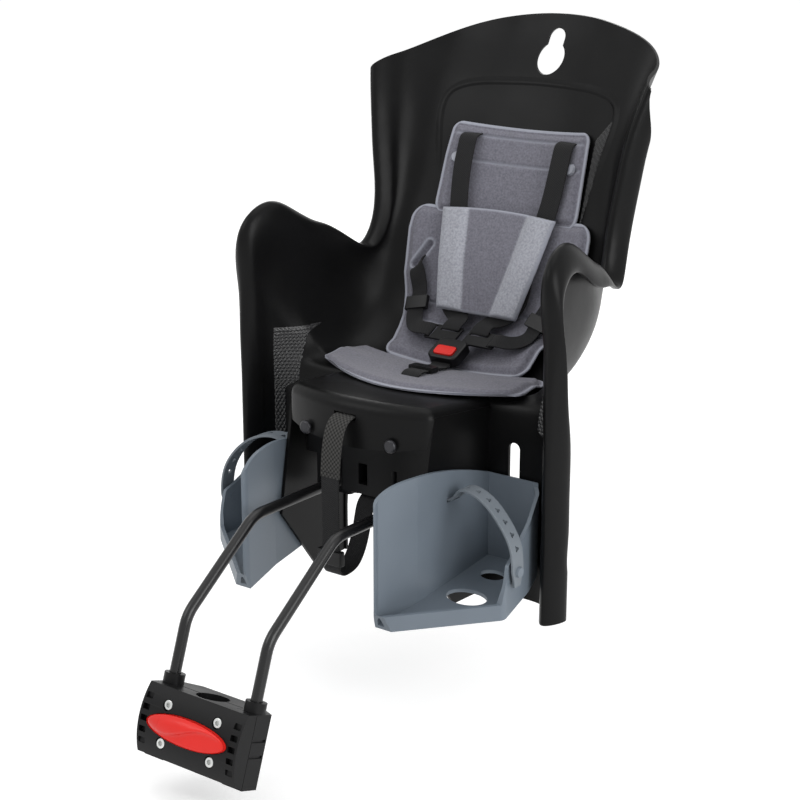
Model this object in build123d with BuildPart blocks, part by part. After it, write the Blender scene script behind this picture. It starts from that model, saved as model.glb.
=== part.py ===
"""Child bike seat: moulded bucket shell on a bent rod fork, clamped to a seat tube.

Millimetres. The origin is the centre of the seat-tube clamp, +Z is up and the child faces -Y.
Left and right are as seen from in front of the seat, so left is -X.
"""
import os
from math import atan2, cos, radians, sin

from build123d import *

# Clamp block, measured along the tilted seat tube
tube_tilt = 20.0
tube_radius = 17.45
block_half_width = 66.0
block_bottom = -40.0
block_top = 36.0
block_front = 27.0
block_rear = 30.0
block_split = 1.5
socket_zone = 40.0
socket_front = 9.0
socket_rear = 14.0
collar_radius = 11.0
collar_top = 47.0
bolt_spread_x = 33.0
bolt_spread_z = 19.5
bolt_shank_radius = 3.0
bolt_head_radius = 5.2
bolt_head_height = 5.0
nut_height = 5.0
pocket_width = 9.0
pocket_height = 6.0
pocket_pitch = 11.5
pocket_count = 5
button_half_length = 52.0
button_half_height = 14.0
button_thickness = 10.0
button_travel = 4.0
button_clearance = 0.6

# Fork of bent rod
rod_radius = 6.0
rod_depth = 30.0
rod_low_bend = (36.0, 100.4)
rod_high_bend = (141.7, 177.5)
rod_bend_radius = 40.0
rod_rear = 408.0
rod_rear_radius = 30.0
sliding_clearance = 0.4
seat_clearance = 0.3

# Shell of the seat
shell_wall = 3.6
rim_roll = 9.5
leg_back = 346.0
guard_rim_x = 206.0
guard_rim_y = 297.0
leg_bottom = 66.0
leg_top = 120.0
cheek_front_x = 96.0
cheek_rear_x = 101.5
hump_front = 226.0
hump_side_front = 250.0
hump_rear = 396.0
hump_front_z = 296.0
hump_rear_z = 279.0
hump_fillet = 13.0
bib_bottom = 243.0
bib_ends = 258.0
bib_bolt_x = 57.0
bib_bolt_z = 252.0
back_top = 666.0
back_half_width = 206.0
back_crown = 106.0
keyhole_drop = 49.4
keyhole_radius = 18.0
keyhole_slot_radius = 11.0
keyhole_rise = 22.0
shoulder_slot_x = 65.4
shoulder_slot_z = 530.0
hip_slot_x = 98.0
hip_slot_z = 384.0
hip_slot_turn = 30.0
leg_slot_x = 135.0
leg_slot_width = 14.0
leg_slot_top = 241.0
leg_slot_bottom = 92.0

# Soft parts and harness
pad_thickness = 7.0
pad_gap = 1.2
webbing_width = 24.0
hip_webbing_width = 20.0
webbing_thickness = 1.8
webbing_gap = 0.6
crotch_slot_y = 340.0
pan_level = 284.0
buckle_centre = (0, 415.0, 304.5)
buckle_tilt = 27.0
buckle_travel = 3.0
chest_pad_thickness = 8.0

# Housing under the seat
housing_half_width = 88.0
housing_front = 263.0
housing_rear = 372.0
housing_plate_bottom = 212.0
housing_plate_top = 246.0
centre_half_width = 38.0
centre_bottom = 177.0
rail_half_width = 14.0
saddle_thickness = 9.0
saddle_length = 34.0

# Footrests
foot_wall = 4.0
foot_sole_front_z = 87.0
foot_sole_rise = 0.154
foot_sole_front_y = 198.0
foot_back = 345.2
foot_lip = 13.0
foot_guide_half_width = 6.0
foot_guide_bottom = 150.0
foot_guide_top = 195.0
foot_strap_width = 20.0
foot_strap_thickness = 3.0
foot_stud_place = (258.0, 138.0)

os.makedirs("parts", exist_ok=True)
tilt = radians(tube_tilt)
tube_plane = Plane(origin=(0, 0, 0), x_dir=(1, 0, 0), z_dir=(0, sin(tilt), cos(tilt)))
rod_x = block_half_width - collar_radius
back_shoulder = back_top - back_crown
keyhole_z = back_top - keyhole_drop
sides = (("left", -1), ("right", 1))

# Sections of the shell, from the leg ends over the lip, along the pan and up the back.
# Each has the floor on the centre plane (y, z), the rim (x, y, z), the half width of the
# floor, its dish and the length of the rolled-back edge.
shell_sections = (
    ((leg_back, leg_top), (guard_rim_x, guard_rim_y, leg_top), 165, 0, 30),
    ((leg_back, leg_top + 38), (guard_rim_x, guard_rim_y, leg_top + 38), 165, 0, 30),
    ((leg_back, leg_top + 76), (guard_rim_x, guard_rim_y, leg_top + 76), 165, 0, 30),
    ((leg_back, leg_top + 112), (guard_rim_x, guard_rim_y, leg_top + 112), 165, 0, 30),
    ((347.5, 259), (guard_rim_x, guard_rim_y, 276), 164, 1, 30),
    ((351, 275), (guard_rim_x, guard_rim_y, 324), 160, 2, 30),
    ((356, 282), (guard_rim_x, guard_rim_y + 0.5, 384), 156, 3, 30),
    ((362, 284.5), (202, 302, 449), 150, 4, 30),
    ((367, 285.5), (197, 337, 467), 145, 5, 30),
    ((373, 285), (194, 373, 454), 140, 5, 30),
    ((414, 279), (190, 404, 437), 126, 6, 28),
    ((477, 311), (184, 426, 428), 122, 8, 26),
    ((507, 362), (172, 452, 409), 122, 10, 24),
    ((517, 390), (166, 466, 401), 122, 11, 24),
    ((524, 413), (161, 479, 417), 120, 12, 26),
    ((536, 446), (160, 489, 454), 116, 11, 27),
    ((556, 500), (166, 494, 500), 106, 12, 27),
    ((575, 548), (173, 500, 548), 100, 12, 27),
    ((594, 585), (181, 509, 585), 97, 12, 27),
    ((613, 615), (188, 519, 615), 95, 12, 26),
    ((633, 650), (193, 536, 650), 93, 12, 25),
    ((652, 685), (197, 560, 685), 92, 12, 24),
)
section_marks = (0, 60, 110, 130, 152, 180, 208, 222, 236, 258)


def section_frame(floor, rim):
    """Plane of a shell section, with its local y from the floor to the rim, and the rim's height."""
    rise = Vector(0, rim[1] - floor[0], rim[2] - floor[1])
    across = Vector(1, 0, 0)
    plane = Plane(origin=(0, floor[0], floor[1]), x_dir=across, z_dir=across.cross(rise.normalized()))
    return plane, rise.length


def half_section(rim_x, height, flat, dish, roll_back):
    """Inner line of half a shell section, from the middle of the floor to the rolled edge."""
    top_x = rim_x - rim_roll
    top = height - rim_roll
    reach = top_x - flat
    return [
        (0, 0),
        (0.55 * flat, 0.3 * dish),
        (flat, dish),
        (flat + 0.40 * reach, dish + 0.10 * (top - dish)),
        (flat + 0.72 * reach, dish + 0.34 * (top - dish)),
        (flat + 0.90 * reach, dish + 0.68 * (top - dish)),
        (top_x, top),
        (rim_x, height),
        (rim_x + rim_roll, top),
        (rim_x + rim_roll + 2, height - roll_back),
    ]


def section_face(floor, rim, flat, dish, roll_back):
    """Closed thin profile of the shell wall in its section's plane."""
    plane, height = section_frame(floor, rim)
    inner = mirrored(half_section(rim[0], height, flat, dish, roll_back))
    outer = outward(inner, shell_wall)
    whole = 2 * section_marks[-1]
    marks = [0.5 - m / whole for m in reversed(section_marks[1:])]
    marks += [0.5 + m / whole for m in section_marks]
    with BuildSketch(plane) as profile:
        with BuildLine():
            add(Edge.make_spline([Vector(*p) for p in inner], parameters=marks))
            Line(inner[-1], outer[-1])
            add(Edge.make_spline([Vector(*p) for p in reversed(outer)], parameters=marks))
            Line(outer[0], inner[0])
        make_face()
    return profile.sketch.face()


def outward(points, distance):
    """Points moved to the right of the line through them, by a wall's thickness."""
    moved = []
    for i, point in enumerate(points):
        before = points[max(i - 1, 0)]
        after = points[min(i + 1, len(points) - 1)]
        run = Vector(after[0] - before[0], after[1] - before[1]).normalized()
        moved.append((point[0] + distance * run.Y, point[1] - distance * run.X))
    return moved


def mirrored(points):
    """A half line with its mirror image, from the left end to the right end."""
    return [(-x, y) for x, y in reversed(points[1:])] + points


def ribbon(path, width, thickness, across=None):
    """Faces of a flat strap along a path, each square to the strap's run there."""
    points = [Vector(*p) for p in path]
    faces = []
    for i, point in enumerate(points):
        run = points[min(i + 1, len(points) - 1)] - points[max(i - 1, 0)]
        side = Vector(*across[i]) if across else Vector(1, 0, 0)
        side = (side - run * (side.dot(run) / run.dot(run))).normalized()
        with BuildSketch(Plane(origin=point, x_dir=side, z_dir=run.normalized())) as profile:
            Rectangle(width, thickness)
        faces.append(profile.sketch.face())
    return faces


def finish(builder, label):
    """Label a finished piece and write it."""
    builder.part.label = label
    export_step(builder.part, f"parts/{label}.step")


# Clamp block: front half with the button's recess and the rib pockets
with BuildPart() as block_front_half:
    with BuildSketch(Plane(tube_plane.origin, x_dir=-tube_plane.y_dir, z_dir=-tube_plane.x_dir)):
        with BuildLine():
            Polyline((block_split / 2, block_bottom), (block_front - 7, block_bottom + 4))
            ThreePointArc(
                (block_front - 7, block_bottom + 4), (block_front + 2, 0), (block_front - 6, block_top)
            )
            Polyline((block_front - 6, block_top), (block_split / 2, block_top), (block_split / 2, block_bottom))
        make_face()
    extrude(amount=block_half_width, both=True)
    with BuildSketch(tube_plane):
        for side in (-1, 1):
            with Locations((side * (socket_zone + block_half_width) / 2, 0)):
                Rectangle(block_half_width - socket_zone + 0.6, 2 * socket_front)
        Circle(tube_radius)
    extrude(amount=100, both=True, mode=Mode.SUBTRACT)
    button_plane = Plane(tube_plane.origin - tube_plane.y_dir * (block_front - 5), tube_plane.x_dir,
                         -tube_plane.y_dir)
    with BuildSketch(button_plane):
        Ellipse(button_half_length + button_clearance, button_half_height + button_clearance)
    extrude(amount=40, mode=Mode.SUBTRACT)
    pocket_plane = Plane(tube_plane.origin - tube_plane.y_dir * (block_front - 3.5), tube_plane.x_dir,
                         -tube_plane.y_dir)
    with BuildSketch(pocket_plane):
        with GridLocations(2 * (block_half_width - 7), pocket_pitch, 2, pocket_count):
            RectangleRounded(pocket_width, pocket_height, 1)
    extrude(amount=20, mode=Mode.SUBTRACT)
    with BuildSketch(Plane(tube_plane.origin - tube_plane.y_dir * block_front, tube_plane.x_dir,
                           tube_plane.y_dir)):
        with GridLocations(2 * bolt_spread_x, 2 * bolt_spread_z, 2, 2):
            Circle(bolt_shank_radius + seat_clearance)
    extrude(amount=60, mode=Mode.SUBTRACT)
    with BuildSketch(Plane(tube_plane.origin - tube_plane.y_dir * (block_front - 6), tube_plane.x_dir,
                           -tube_plane.y_dir)):
        with GridLocations(2 * bolt_spread_x, 2 * bolt_spread_z, 2, 2):
            Circle(bolt_head_radius + 0.8)
    extrude(amount=40, mode=Mode.SUBTRACT)
finish(block_front_half, "block_front_half")

# Clamp block: rear half with the two rod sockets
with BuildPart() as block_rear_half:
    with BuildSketch(tube_plane.offset(block_bottom)):
        with BuildLine():
            Polyline(
                (-socket_zone - 0.3, block_split / 2), (-socket_zone - 0.3, -socket_front + 0.6),
                (-block_half_width, -socket_front + 0.6), (-block_half_width, socket_rear),
                (-socket_zone, block_rear), (socket_zone, block_rear), (block_half_width, socket_rear),
                (block_half_width, -socket_front + 0.6), (socket_zone + 0.3, -socket_front + 0.6),
                (socket_zone + 0.3, block_split / 2), (-socket_zone - 0.3, block_split / 2),
            )
        make_face()
        Circle(tube_radius, mode=Mode.SUBTRACT)
    extrude(amount=block_top - block_bottom)
    fillet(block_rear_half.edges().filter_by(Axis(tube_plane.origin, tube_plane.z_dir)).group_by(Axis.Y)[-1], 6)
    with BuildSketch(tube_plane.offset(block_top)):
        with Locations((-rod_x, 0), (rod_x, 0)):
            Circle(collar_radius)
    extrude(amount=collar_top - block_top)
    with BuildSketch(tube_plane.offset(-rod_depth)):
        with Locations((-rod_x, 0), (rod_x, 0)):
            Circle(rod_radius + sliding_clearance)
    extrude(amount=200, mode=Mode.SUBTRACT)
    with BuildSketch(Plane(tube_plane.origin, tube_plane.x_dir, tube_plane.y_dir)):
        with GridLocations(2 * bolt_spread_x, 2 * bolt_spread_z, 2, 2):
            Circle(bolt_shank_radius + seat_clearance)
    extrude(amount=60, mode=Mode.SUBTRACT)
    with BuildSketch(Plane(tube_plane.origin + tube_plane.y_dir * (block_rear - nut_height - 3),
                           tube_plane.x_dir, tube_plane.y_dir)):
        with GridLocations(2 * bolt_spread_x, 2 * bolt_spread_z, 2, 2):
            RegularPolygon(5.5 + seat_clearance, 6, major_radius=False)
    extrude(amount=40, mode=Mode.SUBTRACT)
    for groove_z in (8, -8):
        with BuildSketch(tube_plane.offset(groove_z)):
            for side in (-1, 1):
                with Locations((side * block_half_width, 2)):
                    Rectangle(3, 20)
        extrude(amount=3, mode=Mode.SUBTRACT)
finish(block_rear_half, "block_rear_half")

# Four socket-head bolts through the block, and their nuts
head_seat = block_front - 6 + seat_clearance
with BuildPart() as block_bolts:
    with BuildSketch(Plane(tube_plane.origin - tube_plane.y_dir * head_seat, tube_plane.x_dir,
                           -tube_plane.y_dir)):
        with GridLocations(2 * bolt_spread_x, 2 * bolt_spread_z, 2, 2):
            Circle(bolt_head_radius)
    extrude(amount=bolt_head_height)
    fillet(block_bolts.edges().group_by(Axis(tube_plane.origin, -tube_plane.y_dir))[-1], 0.8)
    with BuildSketch(Plane(tube_plane.origin - tube_plane.y_dir * head_seat, tube_plane.x_dir,
                           tube_plane.y_dir)):
        with GridLocations(2 * bolt_spread_x, 2 * bolt_spread_z, 2, 2):
            Circle(bolt_shank_radius)
    extrude(amount=head_seat + block_rear - 1)
    with BuildSketch(Plane(tube_plane.origin - tube_plane.y_dir * (head_seat + bolt_head_height),
                           tube_plane.x_dir, tube_plane.y_dir)):
        with GridLocations(2 * bolt_spread_x, 2 * bolt_spread_z, 2, 2):
            RegularPolygon(2.9, 6)
    extrude(amount=3, mode=Mode.SUBTRACT)
finish(block_bolts, "block_bolts")

with BuildPart() as block_nuts:
    with BuildSketch(Plane(tube_plane.origin + tube_plane.y_dir * (block_rear - nut_height - 3 + seat_clearance),
                           tube_plane.x_dir, tube_plane.y_dir)):
        with GridLocations(2 * bolt_spread_x, 2 * bolt_spread_z, 2, 2):
            RegularPolygon(5.5, 6, major_radius=False)
            Circle(bolt_shank_radius + 0.1, mode=Mode.SUBTRACT)
    extrude(amount=nut_height)
finish(block_nuts, "block_nuts")

# Oval release button, domed, with room behind it to be pressed in
with BuildPart() as release_button:
    button_back = block_front - 5 + button_travel + 0.3
    with BuildSketch(Plane(tube_plane.origin - tube_plane.y_dir * button_back, tube_plane.x_dir,
                           -tube_plane.y_dir)):
        Ellipse(button_half_length, button_half_height)
    extrude(amount=button_thickness)
    fillet(release_button.edges().group_by(Axis(tube_plane.origin, -tube_plane.y_dir))[-1], 3.5)
finish(release_button, "release_button")

# Fork: one rod bent into two legs
rod_foot = tube_plane.from_local_coords((rod_x, 0, -rod_depth + 1))
with BuildPart() as support_fork:
    with BuildLine() as rod_path:
        FilletPolyline(
            (rod_x, rod_foot.Y, rod_foot.Z), (rod_x, *rod_low_bend), (rod_x, *rod_high_bend),
            (rod_x, rod_rear, rod_high_bend[1]), (-rod_x, rod_rear, rod_high_bend[1]),
            (-rod_x, *rod_high_bend), (-rod_x, *rod_low_bend), (-rod_x, rod_foot.Y, rod_foot.Z),
            radius=[rod_bend_radius, rod_bend_radius, rod_rear_radius, rod_rear_radius,
                    rod_bend_radius, rod_bend_radius],
        )
    with BuildSketch(Plane(origin=rod_foot, x_dir=(1, 0, 0), z_dir=tube_plane.z_dir)):
        Circle(rod_radius)
    sweep(path=rod_path.wires()[0])
finish(support_fork, "support_fork")

# Shell: lofted bucket with rolled edges, on straight leg guards
with BuildPart() as bucket:
    extrude(section_face(*shell_sections[0]), amount=leg_top - leg_bottom)
    loft([section_face(*section) for section in shell_sections])
    with BuildSketch(Plane.XZ):
        with Locations((0, back_shoulder)):
            Ellipse(back_half_width, back_crown)
        with Locations((0, (back_shoulder + leg_bottom) / 2)):
            Rectangle(2 * (guard_rim_x + 20), back_shoulder - leg_bottom)
    extrude(amount=-900, mode=Mode.INTERSECT)
    with BuildSketch(Plane.XY.offset(leg_bottom - 10)):
        with Locations((0, leg_back - 40)):
            Rectangle(2 * cheek_front_x, 160)
    extrude(amount=hump_front_z - leg_bottom + 20, mode=Mode.SUBTRACT)


def hump_block(inset):
    """Solid of the hump between the legs, drawn in by an inset on every side."""
    with BuildPart() as hump:
        with BuildSketch(Plane.XY.offset(200)):
            with BuildLine():
                front = hump_front + inset
                side_front = hump_side_front + inset
                x_front = cheek_front_x - inset
                x_rear = cheek_rear_x + (cheek_rear_x - cheek_front_x) * 0.5 - inset
                ThreePointArc((-x_front, side_front), (0, front), (x_front, side_front))
                Polyline((x_front, side_front), (x_rear, hump_rear), (-x_rear, hump_rear),
                         (-x_front, side_front))
            make_face()
        extrude(amount=150)
        fillet(hump.edges().filter_by(Axis.Z).group_by(Axis.Y)[0], 14 - inset)
        slope = (hump_rear_z - hump_front_z) / (hump_rear - hump_front)
        top = Plane(origin=(0, hump_front, hump_front_z - inset), x_dir=(1, 0, 0), z_dir=(0, -slope, 1))
        split(bisect_by=top, keep=Keep.BOTTOM)
        top_edges = hump.faces().sort_by(Axis.Z)[-1].edges()
        fillet([e for e in top_edges if e.center().Y < hump_rear - 5], hump_fillet - inset)
    return hump.part


hump_outer = hump_block(0)
hump_inner = hump_block(shell_wall)
with BuildPart() as shell:
    add(hump_outer)
    add(hump_inner, mode=Mode.SUBTRACT)
    with BuildSketch(Plane.YZ):
        with BuildLine():
            Polyline((leg_back + 3, 190), (420, 190), (420, 274), (leg_back + 3, 274), (leg_back + 3, 190))
        make_face()
    extrude(amount=130, both=True, mode=Mode.SUBTRACT)
    with BuildSketch(Plane.XZ):
        with BuildLine():
            Polyline((-130, bib_ends), (-130, 190), (130, 190), (130, bib_ends))
            ThreePointArc((130, bib_ends), (0, bib_bottom), (-130, bib_ends))
        make_face()
    extrude(amount=-420, mode=Mode.SUBTRACT)
    cheek_turn = atan2(cheek_rear_x - cheek_front_x, leg_back - hump_side_front)
    cheek_length = leg_back - hump_side_front + 2
    for side in (-1, 1):
        cheek_plane = Plane(origin=(side * cheek_front_x, hump_side_front, 0),
                            x_dir=(side * sin(cheek_turn), cos(cheek_turn), 0),
                            z_dir=(-side * cos(cheek_turn), sin(cheek_turn), 0))
        up = cheek_plane.y_dir.Z
        with BuildSketch(cheek_plane):
            with BuildLine():
                Polyline(
                    (6, up * 284), (0, up * 262), (-22, up * 145), (40, up * leg_bottom),
                    (cheek_length, up * leg_bottom), (cheek_length, up * 276), (6, up * 284),
                )
            make_face()
        extrude(amount=shell_wall)
    add(bucket.part)
    with BuildSketch(Plane.XZ):
        with Locations((0, keyhole_z)):
            Circle(keyhole_radius)
        with Locations((0, keyhole_z + keyhole_rise)):
            Circle(keyhole_slot_radius)
        with Locations((0, keyhole_z + keyhole_rise / 2)):
            Rectangle(2 * keyhole_slot_radius, keyhole_rise)
        with Locations((-shoulder_slot_x, shoulder_slot_z), (shoulder_slot_x, shoulder_slot_z)):
            Rectangle(webbing_width + 6, 9)
        for side in (-1, 1):
            with Locations((side * hip_slot_x, hip_slot_z)):
                Rectangle(11, hip_webbing_width + 10, rotation=side * hip_slot_turn)
        with Locations((-leg_slot_x, (leg_slot_top + leg_slot_bottom) / 2),
                       (leg_slot_x, (leg_slot_top + leg_slot_bottom) / 2)):
            SlotOverall(leg_slot_top - leg_slot_bottom, leg_slot_width, rotation=90)
    extrude(amount=-900, mode=Mode.SUBTRACT)
    with BuildSketch(Plane.XZ):
        with Locations((-bib_bolt_x, bib_bolt_z), (bib_bolt_x, bib_bolt_z)):
            Circle(3.3)
        with Locations((0, 276)):
            Rectangle(webbing_width + 5, 7)
    extrude(amount=-300, mode=Mode.SUBTRACT)
    with BuildSketch(Plane.XY.offset(pan_level - 25)):
        with Locations((0, crotch_slot_y)):
            Rectangle(webbing_width + 5, 7)
    extrude(amount=60, mode=Mode.SUBTRACT)
finish(shell, "shell")

# Housing bolted under the seat, with rails that take the fork's rods
rod_z = rod_high_bend[1]
hump_slope = (hump_front_z - hump_rear_z) / (hump_rear - hump_front)


def under_hump(y):
    """Height of the hump's underside above a place on the centre plane."""
    return hump_front_z - shell_wall - hump_slope * (y - hump_front)


with BuildPart() as base_housing:
    with BuildSketch(Plane.XY.offset(housing_plate_bottom)):
        with Locations((0, (housing_front + housing_rear) / 2)):
            RectangleRounded(2 * housing_half_width, housing_rear - housing_front, 8)
    extrude(amount=housing_plate_top - housing_plate_bottom)
    with BuildSketch(Plane.YZ):
        pillar_front = housing_front + 30
        Polygon(
            (pillar_front, housing_plate_top - 2), (housing_rear - 4, housing_plate_top - 2),
            (housing_rear - 4, under_hump(housing_rear - 4) - seat_clearance),
            (pillar_front, under_hump(pillar_front) - seat_clearance), align=None,
        )
    extrude(amount=centre_half_width + 14, both=True)
    with BuildSketch(Plane.XY.offset(centre_bottom)):
        with Locations((0, (housing_front + housing_rear) / 2)):
            RectangleRounded(2 * centre_half_width, housing_rear - housing_front, 6)
    extrude(amount=housing_plate_bottom - centre_bottom + 1)
    with BuildSketch(Plane.XY.offset(rod_z)):
        with Locations((-rod_x, (housing_front + housing_rear) / 2), (rod_x, (housing_front + housing_rear) / 2)):
            Rectangle(2 * rail_half_width, housing_rear - housing_front)
    extrude(amount=housing_plate_bottom - rod_z + 1)
    with BuildSketch(Plane.XZ.offset(-housing_front + 20)):
        with Locations((-rod_x, rod_z), (rod_x, rod_z)):
            Circle(rod_radius + seat_clearance)
    extrude(amount=-200, mode=Mode.SUBTRACT)
    with BuildSketch(Plane.XZ.offset(-housing_front)):
        with Locations((-5, housing_plate_bottom - 12)):
            Rectangle(12, 24)
    extrude(amount=-20, mode=Mode.SUBTRACT)
    bib_at_bolt = hump_front + (hump_side_front - hump_front) * (bib_bolt_x / cheek_front_x) ** 2
    boss_front = bib_at_bolt + shell_wall + 4.2
    with BuildSketch(Plane.XZ.offset(-boss_front)):
        with Locations((-bib_bolt_x, bib_bolt_z), (bib_bolt_x, bib_bolt_z)):
            Circle(9)
    extrude(amount=-(housing_front + 12 - boss_front))
    with BuildSketch(Plane.XZ.offset(-boss_front)):
        with Locations((-bib_bolt_x, bib_bolt_z), (bib_bolt_x, bib_bolt_z)):
            Circle(bolt_shank_radius + seat_clearance)
    extrude(amount=-24, mode=Mode.SUBTRACT)
    with BuildSketch(Plane.XY.offset(rod_z)):
        for side in (-1, 1):
            with Locations((side * rod_x, housing_front + 40)):
                with GridLocations(20.5, 0.1, 2, 1):
                    Circle(2.2)
    extrude(amount=16, mode=Mode.SUBTRACT)
    with BuildSketch(Plane.XY.offset(pan_level - 20)):
        with Locations((0, crotch_slot_y)):
            Rectangle(webbing_width + 6, 10)
    extrude(amount=40, mode=Mode.SUBTRACT)
finish(base_housing, "base_housing")

# Domed bolts that hold the bib to the housing
with BuildPart() as housing_bolts:
    for side in (-1, 1):
        with BuildSketch(Plane(origin=(side * bib_bolt_x, bib_at_bolt - 3.2, bib_bolt_z), x_dir=(1, 0, 0),
                               z_dir=(0, -1, 0))):
            Circle(7.5)
        extrude(amount=4)
    fillet(housing_bolts.edges().filter_by(GeomType.CIRCLE).group_by(Axis.Y)[0], 3)
    for side in (-1, 1):
        with BuildSketch(Plane(origin=(side * bib_bolt_x, bib_at_bolt - 3.2, bib_bolt_z), x_dir=(1, 0, 0),
                               z_dir=(0, 1, 0))):
            Circle(bolt_shank_radius)
        extrude(amount=24)
finish(housing_bolts, "housing_bolts")

# Saddles under the rods, each with two screws
for name, side in sides:
    with BuildPart() as saddle:
        with BuildSketch(Plane.XY.offset(rod_z - seat_clearance)):
            with Locations((side * rod_x, housing_front + 40)):
                RectangleRounded(2 * rail_half_width, saddle_length, 3)
        extrude(amount=-(rod_radius + saddle_thickness))
        with BuildSketch(Plane.XZ.offset(-housing_front)):
            with Locations((side * rod_x, rod_z)):
                Circle(rod_radius + seat_clearance)
        extrude(amount=-200, mode=Mode.SUBTRACT)
        with BuildSketch(Plane.XY.offset(rod_z)):
            with Locations((side * rod_x, housing_front + 40)):
                with GridLocations(20.5, 0.1, 2, 1):
                    Circle(2.2)
        extrude(amount=-40, mode=Mode.SUBTRACT)
    finish(saddle, f"rod_saddle_{name}")

with BuildPart() as saddle_screws:
    with BuildSketch(Plane.XY.offset(rod_z - rod_radius - saddle_thickness - 2 * seat_clearance)):
        for side in (-1, 1):
            with Locations((side * rod_x, housing_front + 40)):
                with GridLocations(20.5, 0.1, 2, 1):
                    Circle(3.4)
    extrude(amount=-2.5)
    with BuildSketch(Plane.XY.offset(rod_z - rod_radius - saddle_thickness - 3 * seat_clearance)):
        for side in (-1, 1):
            with Locations((side * rod_x, housing_front + 40)):
                with GridLocations(20.5, 0.1, 2, 1):
                    Circle(2.0)
    extrude(amount=rod_radius + saddle_thickness + 14)
finish(saddle_screws, "saddle_screws")


def dished_face(place, run, half_width, sag, thickness):
    """Cross-section of a pad whose edges lift away from the shell by a sag."""
    with BuildSketch(Plane(origin=place, x_dir=(1, 0, 0), z_dir=run)) as profile:
        with BuildLine():
            low = ThreePointArc((-half_width, -sag), (0, 0), (half_width, -sag))
            high = ThreePointArc((-half_width, -sag - thickness), (0, -thickness),
                                 (half_width, -sag - thickness))
            Line(low @ 0, high @ 0)
            Line(low @ 1, high @ 1)
        make_face()
    return profile.sketch.face()


def pad_faces(stations):
    """Cross-sections along a pad: each station has its place (y, z) on the shell, half width and sag."""
    faces = []
    for i, (place, half_width, sag) in enumerate(stations):
        before = stations[max(i - 1, 0)][0]
        after = stations[min(i + 1, len(stations) - 1)][0]
        run = Vector(0, after[0] - before[0], after[1] - before[1]).normalized()
        lift = Vector(0, -run.Z, run.Y) * pad_gap
        faces.append(dished_face(Vector(0, *place) + lift, run, half_width, sag, pad_thickness))
    return faces


def back_line(z):
    """Depth of the shell's centre line at a height on the back."""
    line = [section[0] for section in shell_sections[9:]]
    for (y0, z0), (y1, z1) in zip(line, line[1:]):
        if z0 <= z <= z1:
            return y0 + (y1 - y0) * (z - z0) / (z1 - z0)


# Pads, dished to lie in the bucket
back_pad_stations = (
    ((459, 302), 98, 11), ((480, 316), 106, 12), ((496, 338), 112, 13), ((507, 362), 120, 15),
    ((524, 413), 124, 17), ((534, 439), 123, 17), ((538, 449), 98, 12), ((556, 500), 96, 14),
    ((571, 538), 93, 14),
)
seat_pad_stations = (
    ((329, 286), 46, 0.6), ((352, 285.6), 58, 1), ((362, 285.5), 132, 6), ((388, 283), 136, 7),
    ((418, 281), 122, 8), ((446, 291), 108, 9),
)
with BuildPart() as back_pad:
    loft(pad_faces(back_pad_stations), ruled=True)
    with BuildSketch(Plane.XZ):
        with Locations((-shoulder_slot_x, shoulder_slot_z), (shoulder_slot_x, shoulder_slot_z)):
            Rectangle(webbing_width + 6, 9)
        for side in (-1, 1):
            with Locations((side * hip_slot_x, hip_slot_z)):
                Rectangle(11, hip_webbing_width + 10, rotation=side * hip_slot_turn)
    extrude(amount=-900, mode=Mode.SUBTRACT)
finish(back_pad, "back_pad")

with BuildPart() as seat_pad:
    loft(pad_faces(seat_pad_stations), ruled=True)
    with BuildSketch(Plane.XY):
        with Locations((0, crotch_slot_y)):
            Rectangle(webbing_width + 4, 10)
    extrude(amount=400, mode=Mode.SUBTRACT)
finish(seat_pad, "seat_pad")

# Two clear snaps on the back pad
snap_x, snap_z, snap_dish = 78.6, 497.0, 0.24
with BuildPart() as pad_snaps:
    for side in (-1, 1):
        normal = Vector(-side * snap_dish, -0.935, 0.354).normalized()
        lift = pad_gap + pad_thickness + 9.4
        place = Vector(side * snap_x, back_line(snap_z), snap_z) + Vector(0, -0.935, 0.354) * lift
        with BuildSketch(Plane(origin=place + normal * seat_clearance, z_dir=normal)):
            Circle(7)
        extrude(amount=3, taper=25)
finish(pad_snaps, "pad_snaps")

# Buckle with its red button, in a frame of its own that leans back
lean = radians(buckle_tilt)
buckle_plane = Plane(origin=buckle_centre, x_dir=(1, 0, 0), z_dir=(0, -sin(lean), cos(lean)))
button_y = -5.0
with BuildPart() as harness_buckle:
    with BuildSketch(buckle_plane.offset(-5)):
        RectangleRounded(40, 34, 8)
    extrude(amount=12)
    fillet(harness_buckle.faces().sort_by(Axis(buckle_plane.origin, buckle_plane.z_dir))[-1].edges(), 2.5)
    with BuildSketch(buckle_plane.offset(2)):
        with Locations((0, button_y)):
            RectangleRounded(26 + 2 * button_clearance, 14 + 2 * button_clearance, 4)
    extrude(amount=20, mode=Mode.SUBTRACT)
    with BuildSketch(buckle_plane.offset(-1.5)):
        with Locations((0, 13)):
            Rectangle(36, 11)
    extrude(amount=3, mode=Mode.SUBTRACT)
    with BuildSketch(buckle_plane.offset(-3)):
        with Locations((0, -15)):
            Rectangle(webbing_width + 1, 9)
    extrude(amount=2.8, mode=Mode.SUBTRACT)
finish(harness_buckle, "harness_buckle")

with BuildPart() as buckle_button:
    with BuildSketch(buckle_plane.offset(2 + buckle_travel + seat_clearance)):
        with Locations((0, button_y)):
            RectangleRounded(26, 14, 3.6)
    extrude(amount=3.6)
    fillet(buckle_button.faces().sort_by(Axis(buckle_plane.origin, buckle_plane.z_dir))[-1].edges(), 1)
finish(buckle_button, "buckle_button")

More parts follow.
